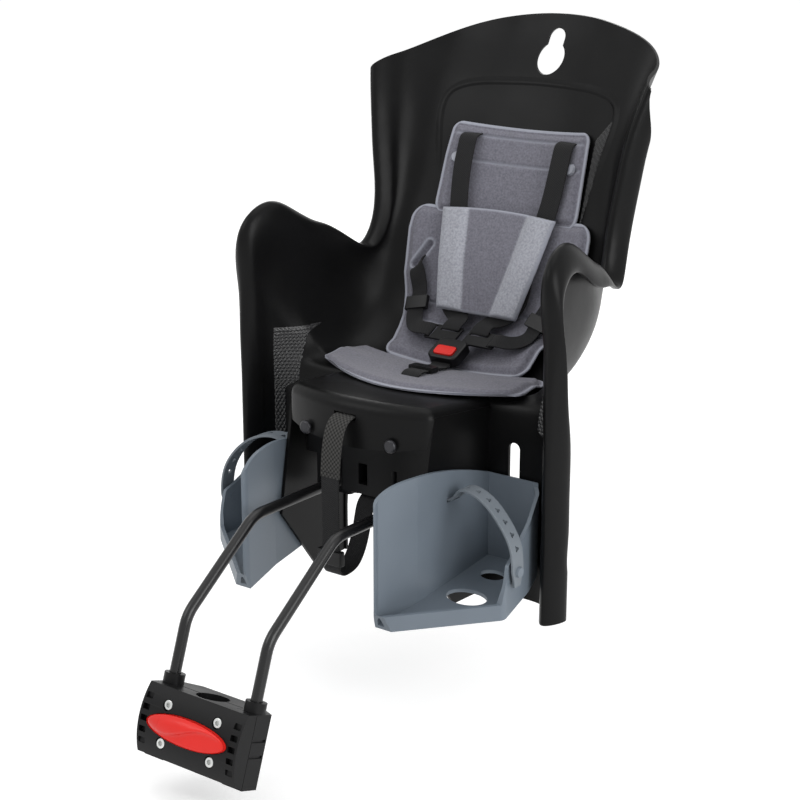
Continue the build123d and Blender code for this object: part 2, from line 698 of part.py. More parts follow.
slide_y, slide_z, slide_length = 358.0, 296.6, 16.0
with BuildPart() as crotch_strap:
    into_buckle = [tuple(buckle_plane.from_local_coords((0, y, -1.6))) for y in (-22, -12)]
    loft(ribbon((
        (0, crotch_slot_y, pan_level - 12), (0, crotch_slot_y, pan_level + 6),
        (0, crotch_slot_y + 5, pan_level + 12.6),
        (0, slide_y, slide_z), (0, slide_y + slide_length, slide_z - 0.9),
        (0, slide_y + slide_length + 11, slide_z - 2.2), *into_buckle,
    ), webbing_width, webbing_thickness), ruled=True)
finish(crotch_strap, "crotch_strap")

with BuildPart() as crotch_slide:
    run = Vector(0, slide_length, -0.9).normalized()
    with BuildSketch(Plane(origin=(0, slide_y + 2, slide_z - 0.2), x_dir=(1, 0, 0), z_dir=run)):
        with Locations((0, -1)):
            RectangleRounded(webbing_width + 8, 6.4, 1.6)
        Rectangle(webbing_width + 1, webbing_thickness + 0.8, mode=Mode.SUBTRACT)
    extrude(amount=slide_length - 4)
finish(crotch_slide, "crotch_slide")

# Chest pad in front of the shoulder straps
chest_rows = (((60, 517, 450), 77.6), ((50, 494, 395), 67), ((39, 474, 342), 55))
chest_step = webbing_thickness / 2 + webbing_gap + chest_pad_thickness / 2
with BuildPart() as chest_pad:
    chest_faces = []
    for (x, y, z), half_width in chest_rows:
        run = Vector(0, chest_rows[0][0][1] - chest_rows[2][0][1], chest_rows[0][0][2] - chest_rows[2][0][2])
        run = run.normalized()
        place = Vector(0, y, z) + Vector(0, -run.Z, run.Y) * chest_step
        with BuildSketch(Plane(origin=place, x_dir=(1, 0, 0), z_dir=run)) as row:
            Rectangle(2 * half_width, chest_pad_thickness)
        chest_faces.append(row.sketch.face())
    loft(chest_faces, ruled=True)
finish(chest_pad, "chest_pad")

# Tongues, shoulder straps and hip straps with their adjusters
upward = tuple(buckle_plane.y_dir)
fold = ((17, 2.9), (3, 2.9), (-0.3, 2.1), (-0.3, -2.1), (3, -2.9), (15, -2.9))
shoulder_bar_y, hip_bar_x, tongue_x, tongue_y = 35.0, 41.0, 20.0, 29.0
for name, side in sides:
    with BuildPart() as tongue:
        with BuildSketch(buckle_plane.offset(-1.2)):
            with BuildLine():
                FilletPolyline(
                    *[(side * x, y) for x, y in ((3, 9), (16, 9), (16, 17.5), (47, 17.5), (47, 41), (5, 41),
                                                 (5, 20), (3, 18))], radius=1.5, close=True)
            make_face()
            with Locations((side * tongue_x, shoulder_bar_y - 0.4)):
                Rectangle(webbing_width + 1.4, 3.4, mode=Mode.SUBTRACT)
            with Locations((side * (hip_bar_x - 0.4), tongue_y)):
                Rectangle(3.4, hip_webbing_width + 1, mode=Mode.SUBTRACT)
        extrude(amount=2.4)
    finish(tongue, f"buckle_tongue_{name}")

    with BuildPart() as shoulder_strap:
        slot_depth = back_line(shoulder_slot_z)
        around_bar = [tuple(buckle_plane.from_local_coords((side * tongue_x, shoulder_bar_y + y, z)))
                      for y, z in fold]
        loft(ribbon((
            (side * shoulder_slot_x, slot_depth + 8, shoulder_slot_z),
            (side * shoulder_slot_x, slot_depth - 20, shoulder_slot_z + 1),
            (side * shoulder_slot_x, slot_depth - 25, shoulder_slot_z - 4),
            (side * 65, back_line(500) - 23, 500),
            *[(side * x, y, z) for (x, y, z), half_width in chest_rows], *around_bar,
        ), webbing_width, webbing_thickness), ruled=True)
    finish(shoulder_strap, f"shoulder_strap_{name}")

    hip_start, hip_end = Vector(side * 89, 480, 355), Vector(side * 79, 456, 325)
    ladder = hip_end - hip_start
    with BuildPart() as hip_strap:
        around_bar = [tuple(buckle_plane.from_local_coords((side * (hip_bar_x + x), tongue_y, z)))
                      for x, z in fold]
        slit = (-side * sin(radians(hip_slot_turn)), 0.32, cos(radians(hip_slot_turn)))
        hip_path = [
            (side * hip_slot_x, back_line(hip_slot_z) + 4, hip_slot_z + 2),
            (side * hip_slot_x, back_line(hip_slot_z) - 27, hip_slot_z - 2), tuple(hip_start),
            tuple(hip_start + ladder * 0.25), tuple(hip_start + ladder * 0.75),
            tuple(hip_end), *around_bar,
        ]
        turned = [slit] * 2 + [(-side * 0.85, 0.2, 0.5)] + [(-side, 0, 0)] * 2 + [(-side * 0.7, 0.6, 0.4)]
        turned += [upward] * len(fold)
        loft(ribbon(hip_path, hip_webbing_width, webbing_thickness, turned), ruled=True)
    finish(hip_strap, f"hip_strap_{name}")

    with BuildPart() as adjuster:
        run = ladder.normalized()
        across = Vector(*turned[3])
        across = (across - run * across.dot(run)).normalized()
        with BuildSketch(Plane(origin=hip_start + ladder * 0.3, x_dir=across, z_dir=run)):
            RectangleRounded(hip_webbing_width + 9, 7, 2)
            Rectangle(hip_webbing_width + 1, webbing_thickness + 1, mode=Mode.SUBTRACT)
        extrude(amount=0.4 * ladder.length)
    finish(adjuster, f"strap_adjuster_{name}")

# Safety strap: from the bib down in a loop and back up under the housing, with a small buckle
loop_front = 201.0
with BuildPart() as safety_strap:
    loft(ribbon((
        (0, 236, 276), (0, 221, 275.5), (0, 211, 266), (0, loop_front + 2, 240), (0, loop_front, 200),
        (0, loop_front, 135), (0, loop_front, 114), (0, loop_front + 5, 105), (0, loop_front + 18, 103.5),
        (0, 232, 106), (0, 246, 121), (0, 257, 155), (0, 264, 171), (0, 272, 175.4), (0, 296, 175.4),
    ), webbing_width, webbing_thickness), ruled=True)
finish(safety_strap, "safety_strap")

with BuildPart() as safety_strap_buckle:
    with BuildSketch(Plane.XY.offset(117)):
        with Locations((0, loop_front)):
            RectangleRounded(webbing_width + 8, 8, 2)
            Rectangle(webbing_width + 1, webbing_thickness + 1, mode=Mode.SUBTRACT)
    extrude(amount=16)
finish(safety_strap_buckle, "safety_strap_buckle")


# Footrests that slide in the leg guards
def sole_plane(rise):
    """Plane of the footrest's sole, moved up by a rise."""
    return Plane(origin=(0, foot_sole_front_y, foot_sole_front_z + rise), x_dir=(1, 0, 0),
                 z_dir=(0, -foot_sole_rise, 1))


def foot_block(outline, inset, rise):
    """Upright solid over a plan outline drawn in by an inset, cut off at a plane over the sole."""
    with BuildPart() as block:
        with BuildSketch(Plane.XY.offset(40)):
            Polygon(*outline, align=None)
            fillet([v for v in vertices() if v.Y < foot_back - 5], 8)
            if inset:
                offset(amount=-inset)
        extrude(amount=260)
        split(bisect_by=sole_plane(rise), keep=Keep.TOP)
    return block.part


foot_outline = ((82, 147), (197, 240), (187, 300), (176, 334), (166, foot_back), (103, foot_back), (95.9, 222))
foot_low_zone = ((87, 110), (240, 110), (240, foot_back - foot_wall - 1), (107.8, foot_back - foot_wall - 1),
                 (100.6, 222), (87, 147))
foot_wall_line = ((167, 78), (156, 115), (148, 160), (152, 197), (170, 220), (205, 229), (250, 227), (300, 217),
                  (346, 203))
foot_slant = ((232, 70), (240, 118), (247, 146), (262, 153), (335, 197), (360, 212), (360, 70))
guide_middle = (foot_guide_bottom + foot_guide_top) / 2
guide_height = foot_guide_top - foot_guide_bottom
stud_y, stud_z = foot_stud_place
for name, side in sides:
    outline = [(side * x, y) for x, y in foot_outline]
    low_zone = [(side * x, y) for x, y in foot_low_zone]
    with BuildPart() as foot_opening:
        add(foot_block(low_zone, 0, foot_lip))
        with BuildSketch(Plane.YZ):
            with BuildLine():
                FilletPolyline(*foot_slant, radius=4, close=True)
            make_face()
        extrude(amount=300, both=True, mode=Mode.SUBTRACT)

    with BuildPart() as footrest:
        add(foot_block(outline, 0, -foot_wall))
        add(foot_block(outline, foot_wall, 0), mode=Mode.SUBTRACT)
        with BuildSketch(Plane.YZ):
            with BuildLine():
                Spline(*foot_wall_line)
                Polyline(foot_wall_line[-1], (346, 60), (167, 60), foot_wall_line[0])
            make_face()
        extrude(amount=300, both=True, mode=Mode.INTERSECT)
        add(foot_opening.part, mode=Mode.SUBTRACT)
        with BuildSketch(Plane(origin=(side * 190, stud_y, stud_z), z_dir=(side, 0, 0))):
            Circle(3.5)
        extrude(amount=11.5)
        with BuildSketch(Plane(origin=(side * 201.2, stud_y, stud_z), z_dir=(side, 0, 0))):
            Circle(6)
        extrude(amount=3, taper=15)
        with BuildSketch(Plane.XY.offset(60)):
            with Locations((side * 139, 255)):
                Ellipse(24, 15)
            with Locations((side * 137, 306)):
                Ellipse(15, 10)
        extrude(amount=80, mode=Mode.SUBTRACT)
        with BuildSketch(Plane(origin=(side * 90, 280, 191), x_dir=(0, 1, 0), z_dir=(side, 0, 0))):
            Rectangle(foot_strap_width + 2, foot_strap_thickness + 1.4)
        extrude(amount=16, mode=Mode.SUBTRACT)
        with BuildSketch(Plane.XZ.offset(-(foot_back - 1))):
            with Locations((side * leg_slot_x, guide_middle)):
                Rectangle(2 * foot_guide_half_width, guide_height)
        extrude(amount=-8)
        with BuildSketch(Plane.XZ.offset(-(leg_back + shell_wall + 1.8))):
            with Locations((side * leg_slot_x, guide_middle)):
                RectangleRounded(24, guide_height + 10, 4)
        extrude(amount=-3)
    finish(footrest, f"footrest_{name}")

    with BuildPart() as foot_strap:
        strap_path = ((100.2, 280, 191), (105.5, 280, 191), (121, 274, 201.5), (150, 268, 200), (180, 262, 180),
                      (196, 259, 160), (199.3, 258, 148), (199.3, 258, 122))
        loft(ribbon([(side * x, y, z) for x, y, z in strap_path], foot_strap_width, foot_strap_thickness,
                    [(0, 1, 0)] * len(strap_path)), ruled=True)
        with BuildSketch(Plane(origin=(side * 190, stud_y, stud_z), z_dir=(side, 0, 0))):
            Circle(4)
        extrude(amount=20, mode=Mode.SUBTRACT)
    finish(foot_strap, f"foot_strap_{name}")
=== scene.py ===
"""Looks for a child bike seat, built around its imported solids.

+Z up, the child faces -Y. Left is -X, as seen from in front of the seat. The seat's sizes are in
millimetres, and those of the studio and the weave in metres.
"""
import logging
import math
from dataclasses import dataclass, field
from enum import Enum
from typing import Callable, Sequence

import bmesh
import bpy
import numpy as np
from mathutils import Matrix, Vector


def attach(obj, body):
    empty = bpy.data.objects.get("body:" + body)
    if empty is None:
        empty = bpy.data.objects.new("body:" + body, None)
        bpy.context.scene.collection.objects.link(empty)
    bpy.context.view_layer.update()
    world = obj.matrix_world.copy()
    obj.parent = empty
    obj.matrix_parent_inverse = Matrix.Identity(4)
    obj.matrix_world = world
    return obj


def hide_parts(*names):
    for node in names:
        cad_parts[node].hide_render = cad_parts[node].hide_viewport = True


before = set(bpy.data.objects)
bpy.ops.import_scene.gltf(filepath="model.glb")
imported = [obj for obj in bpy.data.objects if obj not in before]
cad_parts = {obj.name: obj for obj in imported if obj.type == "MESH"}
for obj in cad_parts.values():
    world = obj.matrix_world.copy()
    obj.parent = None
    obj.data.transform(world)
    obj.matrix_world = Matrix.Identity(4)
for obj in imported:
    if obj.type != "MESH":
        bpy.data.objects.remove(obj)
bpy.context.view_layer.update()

MM = 0.001
SIDES: tuple[tuple[str, int], ...] = (("left", -1), ("right", 1))
SHARP = 35.0  # degrees that an edge turns before it is shaded sharp and rounded
WEAR_RANGE = (0.3, 0.7)  # part of the broad noise that shows as wear
log = logging.getLogger("child_seat")
Array = np.ndarray
Point = tuple[float, float, float]


class Body(str, Enum):
    """Bodies of the part that a piece can ride on."""

    BLOCK = "fixing_block"
    SEAT = "seat"
    RELEASE = "release_button"
    BUCKLE = "buckle_button"
    LEFT_FOOT = "left_footrest"
    RIGHT_FOOT = "right_footrest"


def foot_body(name: str) -> Body:
    """Body of the footrest on a named side."""
    return Body.LEFT_FOOT if name == "left" else Body.RIGHT_FOOT


class NaturalSpline:
    """Cubic spline with free ends through values at rising marks."""

    def __init__(self, marks: Array, values: Array) -> None:
        """Solve the second derivatives that join the pieces smoothly.

        Args:
            marks: rising parameter of each value, shape (n,).
            values: points to pass through, shape (n, k).
        """
        self.marks = np.asarray(marks, float)
        self.values = np.asarray(values, float)
        n = len(self.marks)
        step = np.diff(self.marks)
        matrix = np.eye(n)
        right = np.zeros_like(self.values)
        inner = np.arange(1, n - 1)
        matrix[inner, inner - 1] = step[:-1]
        matrix[inner, inner] = 2 * (step[:-1] + step[1:])
        matrix[inner, inner + 1] = step[1:]
        slope = np.diff(self.values, axis=0) / step[:, None]
        right[inner] = 6 * (slope[1:] - slope[:-1])
        self.bend = np.linalg.solve(matrix, right)

    def at(self, marks: Array) -> Array:
        """Values at any marks between the first and the last.

        Args:
            marks: where to read the spline, shape (m,).

        Returns:
            Values there, shape (m, k).
        """
        t = np.asarray(marks, float)
        i = np.clip(np.searchsorted(self.marks, t) - 1, 0, len(self.marks) - 2)
        low, high = self.marks[i], self.marks[i + 1]
        h = (high - low)[:, None]
        a = ((high - t) / (high - low))[:, None]
        b = 1 - a
        curve = ((a**3 - a) * self.bend[i] + (b**3 - b) * self.bend[i + 1]) * h**2 / 6
        return a * self.values[i] + b * self.values[i + 1] + curve


def chord_marks(points: Array) -> Array:
    """Length along a row of points, from 0 at the first."""
    return np.concatenate([[0.0], np.cumsum(np.linalg.norm(np.diff(points, axis=0), axis=1))])


def smoothstep(low: float, high: float, value: Array) -> Array:
    """Soft step from 0 at low to 1 at high, flat at both ends."""
    t = np.clip((value - low) / (high - low), 0, 1)
    return t * t * (3 - 2 * t)


def unit(vectors: Array) -> Array:
    """Rows of an array divided by their lengths."""
    return vectors / np.maximum(np.linalg.norm(vectors, axis=-1, keepdims=True), 1e-12)


def rounded_slab(width: float, thickness: float, count: int, power: float = 9.0) -> Array:
    """Outline of a strap's section, a superellipse of the given power.

    Args:
        width: size along the first axis.
        thickness: size along the second axis.
        count: number of points.
        power: how square the corners are.

    Returns:
        Points in order round the section, shape (count, 2).
    """
    turn = np.linspace(0, 2 * math.pi, count, endpoint=False)
    c, s = np.cos(turn), np.sin(turn)
    x = np.sign(c) * np.abs(c) ** (2 / power) * width / 2
    y = np.sign(s) * np.abs(s) ** (2 / power) * thickness / 2
    return np.stack([x, y], axis=1)


def cos_sin(degrees: float) -> tuple[float, float]:
    """Cosine and sine of an angle in degrees."""
    return math.cos(math.radians(degrees)), math.sin(math.radians(degrees))


def on_side(k: int, points: Sequence[Point]) -> list[Point]:
    """Points given for the right side, mirrored where k is -1."""
    return [(k * x, y, z) for x, y, z in points]


def both_faces(top: Array, under: Array | None = None) -> Array:
    """Columns of a sheet's top, then those of its underside backwards, to run round its edge.

    Args:
        top: values on the top, with rows and columns as the first axes.
        under: values on the underside, where they differ from the top's.

    Returns:
        Values round the sheet, with twice the columns.
    """
    return np.concatenate([top, (top if under is None else under)[:, ::-1]], axis=1)


def add_object(name: str, data: bpy.types.ID) -> bpy.types.Object:
    """Put a mesh, camera or lamp into the scene.

    Args:
        name: name of the object.
        data: the mesh, camera or lamp.

    Returns:
        The new object, at the origin.
    """
    made = bpy.data.objects.new(name, data)
    bpy.context.scene.collection.objects.link(made)
    return made


class MeshMaker:
    """Makes mesh objects from arrays of points or from the part's solids."""

    @staticmethod
    def from_grid(name: str, points: Array, uv: Array | None = None, closed: bool = False,
                  caps: bool = False, attributes: dict[str, Array] | None = None) -> bpy.types.Object:
        """Make a quad mesh from a grid of points in millimetres.

        Args:
            name: name of the object.
            points: grid of points, shape (rows, columns, 3).
            uv: optional pair for each point, shape (rows, columns, 2).
            closed: whether the last column joins the first.
            caps: whether the first and last rows are closed by one face.
            attributes: value of each point for named attributes, shape (rows, columns).

        Returns:
            The new object, at the origin.
        """
        rows, columns = points.shape[:2]
        index = np.arange(rows * columns).reshape(rows, columns)
        right = np.roll(index, -1, axis=1) if closed else index[:, 1:]
        left = index if closed else index[:, :-1]
        quads = np.stack([left[:-1], right[:-1], right[1:], left[1:]], axis=-1).reshape(-1, 4)
        faces = quads.tolist()
        if caps:
            faces += [index[0][::-1].tolist(), index[-1].tolist()]
        mesh = bpy.data.meshes.new(name)
        mesh.from_pydata((points.reshape(-1, 3) * MM).tolist(), [], faces)
        corner = np.empty(len(mesh.loops), np.int32)
        mesh.loops.foreach_get("vertex_index", corner)
        if uv is not None:
            layer = mesh.uv_layers.new(name="along")
            layer.data.foreach_set("uv", (uv.reshape(-1, 2)[corner] * MM).ravel())
        for key, values in (attributes or {}).items():
            marks = mesh.attributes.new(key, "FLOAT", "POINT")
            marks.data.foreach_set("value", values.ravel().astype(np.float32))
        mesh.update()
        made = add_object(name, mesh)
        MeshMaker.point_out(made)
        mesh.shade_smooth()
        return made

    @staticmethod
    def point_out(made: bpy.types.Object) -> None:
        """Turn every face of a closed mesh outwards.

        Args:
            made: object with that mesh.
        """
        cage = bmesh.new()
        cage.from_mesh(made.data)
        bmesh.ops.recalc_face_normals(cage, faces=cage.faces)
        cage.to_mesh(made.data)
        cage.free()

    @staticmethod
    def merged_copy(node: str, name: str) -> bpy.types.Object:
        """Copy a solid with its doubles merged.

        Args:
            node: name of the solid.
            name: name of the copy.

        Returns:
            The copy, at the origin.
        """
        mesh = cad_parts[node].data.copy()
        mesh.name = name
        cage = bmesh.new()
        cage.from_mesh(mesh)
        bmesh.ops.remove_doubles(cage, verts=cage.verts, dist=2e-6)
        bmesh.ops.dissolve_degenerate(cage, edges=cage.edges, dist=1e-7)
        cage.to_mesh(mesh)
        cage.free()
        mesh.materials.clear()
        if "custom_normal" in mesh.attributes:
            mesh.attributes.remove(mesh.attributes["custom_normal"])
        MeshMaker.smooth(mesh)
        return add_object(name, mesh)

    @staticmethod
    def smooth(mesh: bpy.types.Mesh, angle: float = SHARP) -> None:
        """Shade a mesh smooth, apart from edges that turn more than an angle in degrees."""
        mesh.shade_smooth()
        mesh.set_sharp_from_angle(angle=math.radians(angle))

    @staticmethod
    def soften(made: bpy.types.Object, width: float, segments: int = 2) -> None:
        """Round the sharp edges of a piece with a live bevel.

        Args:
            made: piece to round.
            width: width of the bevel in millimetres.
            segments: faces across the bevel.
        """
        bevel = made.modifiers.new("edges", "BEVEL")
        bevel.width = width * MM
        bevel.segments = segments
        bevel.limit_method = "ANGLE"
        bevel.angle_limit = math.radians(SHARP)
        bevel.use_clamp_overlap = True

    @staticmethod
    def cut(made: bpy.types.Object, cutter: bpy.types.Object) -> None:
        """Take a cutter out of a piece for good, and delete the cutter.

        Args:
            made: piece to cut.
            cutter: closed mesh to take out of it.
        """
        knife = made.modifiers.new("cut", "BOOLEAN")
        knife.operation = "DIFFERENCE"
        knife.solver = "EXACT"
        knife.object = cutter
        graph = bpy.context.evaluated_depsgraph_get()
        cut_mesh = bpy.data.meshes.new_from_object(made.evaluated_get(graph))
        made.modifiers.clear()
        made.data = cut_mesh
        bpy.data.objects.remove(cutter)


def place(made: bpy.types.Object, body: Body, slot: str, finish: bpy.types.Material,
          *nodes: str) -> bpy.types.Object:
    """Dress a new piece, let it ride on a body and stand for solids.

    Args:
        made: the piece.
        body: body that it rides on.
        slot: material slot of the record; not used.
        finish: its material.
        nodes: solids that it stands for.

    Returns:
        The same piece.
    """
    made.data.materials.clear()
    made.data.materials.append(finish)
    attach(made, body.value)
    if nodes:
        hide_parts(*nodes)
    log.info("piece %s on %s", made.name, body.value)
    return made


class NodeTree:
    """Small helper that adds and links shader nodes."""

    def __init__(self, tree: bpy.types.NodeTree) -> None:
        """Hold the tree that nodes go into."""
        self.tree = tree

    def add(self, kind: str, **values: object) -> bpy.types.Node:
        """Add a node and set its properties.

        Args:
            kind: Blender's name of the node type.
            values: properties of the node.

        Returns:
            The node.
        """
        node = self.tree.nodes.new(kind)
        for key, value in values.items():
            setattr(node, key, value)
        return node

    def link(self, source: bpy.types.NodeSocket, target: bpy.types.NodeSocket) -> None:
        """Join two sockets."""
        self.tree.links.new(source, target)

    def math(self, operation: str, first: object, second: object = None) -> bpy.types.NodeSocket:
        """Add a maths node on sockets or numbers.

        Args:
            operation: Blender's name of the operation.
            first: socket or number.
            second: socket or number, where the operation takes two.

        Returns:
            The result's socket.
        """
        node = self.add("ShaderNodeMath", operation=operation)
        for slot, value in enumerate((first, second)):
            if isinstance(value, bpy.types.NodeSocket):
                self.link(value, node.inputs[slot])
            elif value is not None:
                node.inputs[slot].default_value = value
        return node.outputs[0]

    def mix(self, factor: bpy.types.NodeSocket, low: object, high: object) -> bpy.types.NodeSocket:
        """Mix two colours, each a socket or an RGBA tuple.

        Args:
            factor: socket with the mix, 0 to 1.
            low: colour at 0.
            high: colour at 1.

        Returns:
            The mixed colour's socket.
        """
        node = self.add("ShaderNodeMix", data_type="RGBA")
        self.link(factor, node.inputs[0])
        for slot, value in ((6, low), (7, high)):
            if isinstance(value, bpy.types.NodeSocket):
                self.link(value, node.inputs[slot])
            else:
                node.inputs[slot].default_value = value
        return node.outputs[2]

    def ramp(self, value: bpy.types.NodeSocket, low: float, high: float,
             out_low: float = 0.0, out_high: float = 1.0) -> bpy.types.NodeSocket:
        """Map a range of a value to another range, held at its ends.

        Args:
            value: socket to map.
            low: value that gives out_low.
            high: value that gives out_high.
            out_low: result at the low end.
            out_high: result at the high end.

        Returns:
            The result's socket.
        """
        node = self.add("ShaderNodeMapRange", clamp=True)
        self.link(value, node.inputs["Value"])
        for key, number in (("From Min", low), ("From Max", high), ("To Min", out_low), ("To Max", out_high)):
            node.inputs[key].default_value = number
        return node.outputs["Result"]

    def bump(self, height: bpy.types.NodeSocket, shader: bpy.types.Node, strength: float,
             depth: float) -> None:
        """Turn a height into the normal of a shader.

        Args:
            height: socket with the height.
            shader: shader that takes the normal.
            strength: how much of the bump shows.
            depth: its depth in metres.
        """
        node = self.add("ShaderNodeBump")
        node.inputs["Strength"].default_value = strength
        node.inputs["Distance"].default_value = depth
        self.link(height, node.inputs["Height"])
        self.link(node.outputs["Normal"], shader.inputs["Normal"])


def new_material(name: str) -> tuple[bpy.types.Material, NodeTree, bpy.types.Node]:
    """Make a material with nodes.

    Args:
        name: name of the material.

    Returns:
        The material, its node tree and its shader.
    """
    material = bpy.data.materials.new(name)
    material.use_nodes = True
    return material, NodeTree(material.node_tree), material.node_tree.nodes["Principled BSDF"]


class ShaderGroups:
    """Shared patterns, each built once as a node group."""

    def __init__(self) -> None:
        """Build the groups that the finishes use."""
        self.grain = self._grain()
        self.weave = self._weave()

    @staticmethod
    def _group(name: str, inputs: Sequence[tuple[str, float]], outputs: Sequence[str]) -> bpy.types.NodeTree:
        """Make an empty group with number sockets.

        Args:
            name: name of the group.
            inputs: name and default of each input.
            outputs: name of each output.

        Returns:
            The group's tree.
        """
        tree = bpy.data.node_groups.new(name, "ShaderNodeTree")
        for key, value in inputs:
            socket = tree.interface.new_socket(key, in_out="INPUT", socket_type="NodeSocketFloat")
            socket.default_value = value
        for key in outputs:
            tree.interface.new_socket(key, in_out="OUTPUT", socket_type="NodeSocketFloat")
        return tree

    def _grain(self) -> bpy.types.NodeTree:
        """Moulded grain: fine noise for height and broad noise for wear, on Object coordinates.

        Returns:
            Group with inputs Scale and Broad, and outputs Height and Wear.
        """
        tree = self._group("moulded grain", (("Scale", 900.0), ("Broad", 14.0)), ("Height", "Wear"))
        nodes = NodeTree(tree)
        inward, outward = nodes.add("NodeGroupInput"), nodes.add("NodeGroupOutput")
        place_at = nodes.add("ShaderNodeTexCoord").outputs["Object"]
        fine = nodes.add("ShaderNodeTexNoise")
        broad = nodes.add("ShaderNodeTexNoise")
        fine.inputs["Detail"].default_value = 2.0
        broad.inputs["Detail"].default_value = 4.0
        for noise, key in ((fine, "Scale"), (broad, "Broad")):
            nodes.link(place_at, noise.inputs["Vector"])
            nodes.link(inward.outputs[key], noise.inputs["Scale"])
        nodes.link(fine.outputs["Fac"], outward.inputs["Height"])
        nodes.link(broad.outputs["Fac"], outward.inputs["Wear"])
        return tree

    def _weave(self) -> bpy.types.NodeTree:
        """Webbing weave: a bump on each crossing of the threads, in a chequer on the strap's own UV map.

        The height is half of one plus the product of a sine along the strap and a sine across it.

        Returns:
            Group with inputs Pick and Rib in metres, and output Height.
        """
        tree = self._group("webbing weave", (("Pick", 0.0022), ("Rib", 0.0028)), ("Height",))
        nodes = NodeTree(tree)
        inward, outward = nodes.add("NodeGroupInput"), nodes.add("NodeGroupOutput")
        uv = nodes.add("ShaderNodeUVMap", uv_map="along")
        split = nodes.add("ShaderNodeSeparateXYZ")
        nodes.link(uv.outputs["UV"], split.inputs[0])
        waves = []
        for axis, size in (("X", "Pick"), ("Y", "Rib")):
            turns = nodes.math("DIVIDE", split.outputs[axis], inward.outputs[size])
            waves.append(nodes.math("SINE", nodes.math("MULTIPLY", turns, 2 * math.pi)))
        crossing = nodes.math("MULTIPLY", waves[0], waves[1])
        nodes.link(nodes.math("ADD", nodes.math("MULTIPLY", crossing, 0.5), 0.5), outward.inputs["Height"])
        return tree


@dataclass(frozen=True)
class Moulding:
    """Finish of a moulded plastic or coated metal piece."""

    name: str
    colour: tuple[float, float, float]
    roughness: float
    spread: float = 0.06
    bump: float = 0.05
    grain: float = 900.0
    metallic: float = 0.0
    shade: float = 0.12
    specular: float = 0.5
    depth: float = 0.0004

    def build(self, groups: ShaderGroups) -> bpy.types.Material:
        """Make the material.

        Args:
            groups: shared patterns.

        Returns:
            The material, with grain in its normal and wear in its colour and roughness.
        """
        material, nodes, shader = new_material(self.name)
        grain = nodes.add("ShaderNodeGroup", node_tree=groups.grain)
        grain.inputs["Scale"].default_value = self.grain
        low = tuple(c * (1 - self.shade) for c in self.colour) + (1.0,)
        high = tuple(min(1.0, c * (1 + self.shade)) for c in self.colour) + (1.0,)
        wear = nodes.ramp(grain.outputs["Wear"], *WEAR_RANGE)
        nodes.link(nodes.mix(wear, low, high), shader.inputs["Base Color"])
        rough = nodes.ramp(grain.outputs["Wear"], *WEAR_RANGE, self.roughness - self.spread,
                           self.roughness + self.spread)
        nodes.link(rough, shader.inputs["Roughness"])
        shader.inputs["Metallic"].default_value = self.metallic
        shader.inputs["Specular IOR Level"].default_value = self.specular
        nodes.bump(grain.outputs["Height"], shader, self.bump, self.depth)
        return material


@dataclass(frozen=True)
class Webbing:
    """Finish of woven strap."""

    name: str
    dark: tuple[float, float, float]
    pale: tuple[float, float, float]
    pick: float = 0.0022
    rib: float = 0.0030
    bump: float = 0.7
    depth: float = 0.0005
    roughness: float = 0.75
    specular: float = 0.16
    sheen: float = 0.06

    def build(self, groups: ShaderGroups) -> bpy.types.Material:
        """Make the material from the weave group.

        Args:
            groups: shared patterns.

        Returns:
            The material, with the weave in its colour and normal.
        """
        material, nodes, shader = new_material(self.name)
        weave = nodes.add("ShaderNodeGroup", node_tree=groups.weave)
        weave.inputs["Pick"].default_value = self.pick
        weave.inputs["Rib"].default_value = self.rib
        colour = nodes.mix(weave.outputs["Height"], (*self.dark, 1.0), (*self.pale, 1.0))
        nodes.link(colour, shader.inputs["Base Color"])
        shader.inputs["Roughness"].default_value = self.roughness
        shader.inputs["Specular IOR Level"].default_value = self.specular
        shader.inputs["Sheen Weight"].default_value = self.sheen
        nodes.bump(weave.outputs["Height"], shader, self.bump, self.depth)
        return material


@dataclass(frozen=True)
class Felt:
    """Finish of brushed felt: the weld attribute marks pressed edges, painted paler as a highlight, and the
    flank attribute paler nap.
    """

    name: str
    dark: tuple[float, float, float]
    pale: tuple[float, float, float]
    sleeve: tuple[float, float, float]
    # colour of the pressed welds, paler than the felt: a painted highlight
    weld_and_highlight: tuple[float, float, float]
    scale: float = 420.0
    fine: float = 1500.0
    worn: float = 0.66
    roughness: tuple[float, float] = (0.95, 0.7)
    sheen: float = 0.2
    bump: float = 0.5
    depth: float = 0.0006

    def build(self, groups: ShaderGroups) -> bpy.types.Material:
        """Make the material: mottled nap, paler on the flanks, with smooth welds painted paler as a
        highlight.

        Args:
            groups: shared patterns.

        Returns:
            The material.
        """
        material, nodes, shader = new_material(self.name)
        nap = nodes.add("ShaderNodeGroup", node_tree=groups.grain)
        nap.inputs["Scale"].default_value = self.fine
        nap.inputs["Broad"].default_value = self.scale
        weld_and_highlight = nodes.add("ShaderNodeAttribute", attribute_name="weld_and_highlight")
        flank = nodes.add("ShaderNodeAttribute", attribute_name="flank")
        tuft = nodes.ramp(nap.outputs["Wear"], *WEAR_RANGE)
        plain = nodes.mix(tuft, (*self.dark, 1.0), (*self.pale, 1.0))
        worn = tuple(self.worn * c for c in self.sleeve)
        brushed = nodes.mix(tuft, (*worn, 1.0), (*self.sleeve, 1.0))
        colour = nodes.mix(flank.outputs["Fac"], plain, brushed)
        # the welds' paler colour is a painted highlight; their lower roughness and flat bump are real
        nodes.link(nodes.mix(weld_and_highlight.outputs["Fac"], colour, (*self.weld_and_highlight, 1.0)), shader.inputs["Base Color"])
        nodes.link(nodes.ramp(weld_and_highlight.outputs["Fac"], 0.0, 1.0, *self.roughness), shader.inputs["Roughness"])
        shader.inputs["Sheen Weight"].default_value = self.sheen
        fuzz = nodes.math("MULTIPLY", nap.outputs["Height"], nodes.math("SUBTRACT", 1.0, weld_and_highlight.outputs["Fac"]))
        nodes.bump(nodes.math("ADD", fuzz, nap.outputs["Wear"]), shader, self.bump, self.depth)
        return material


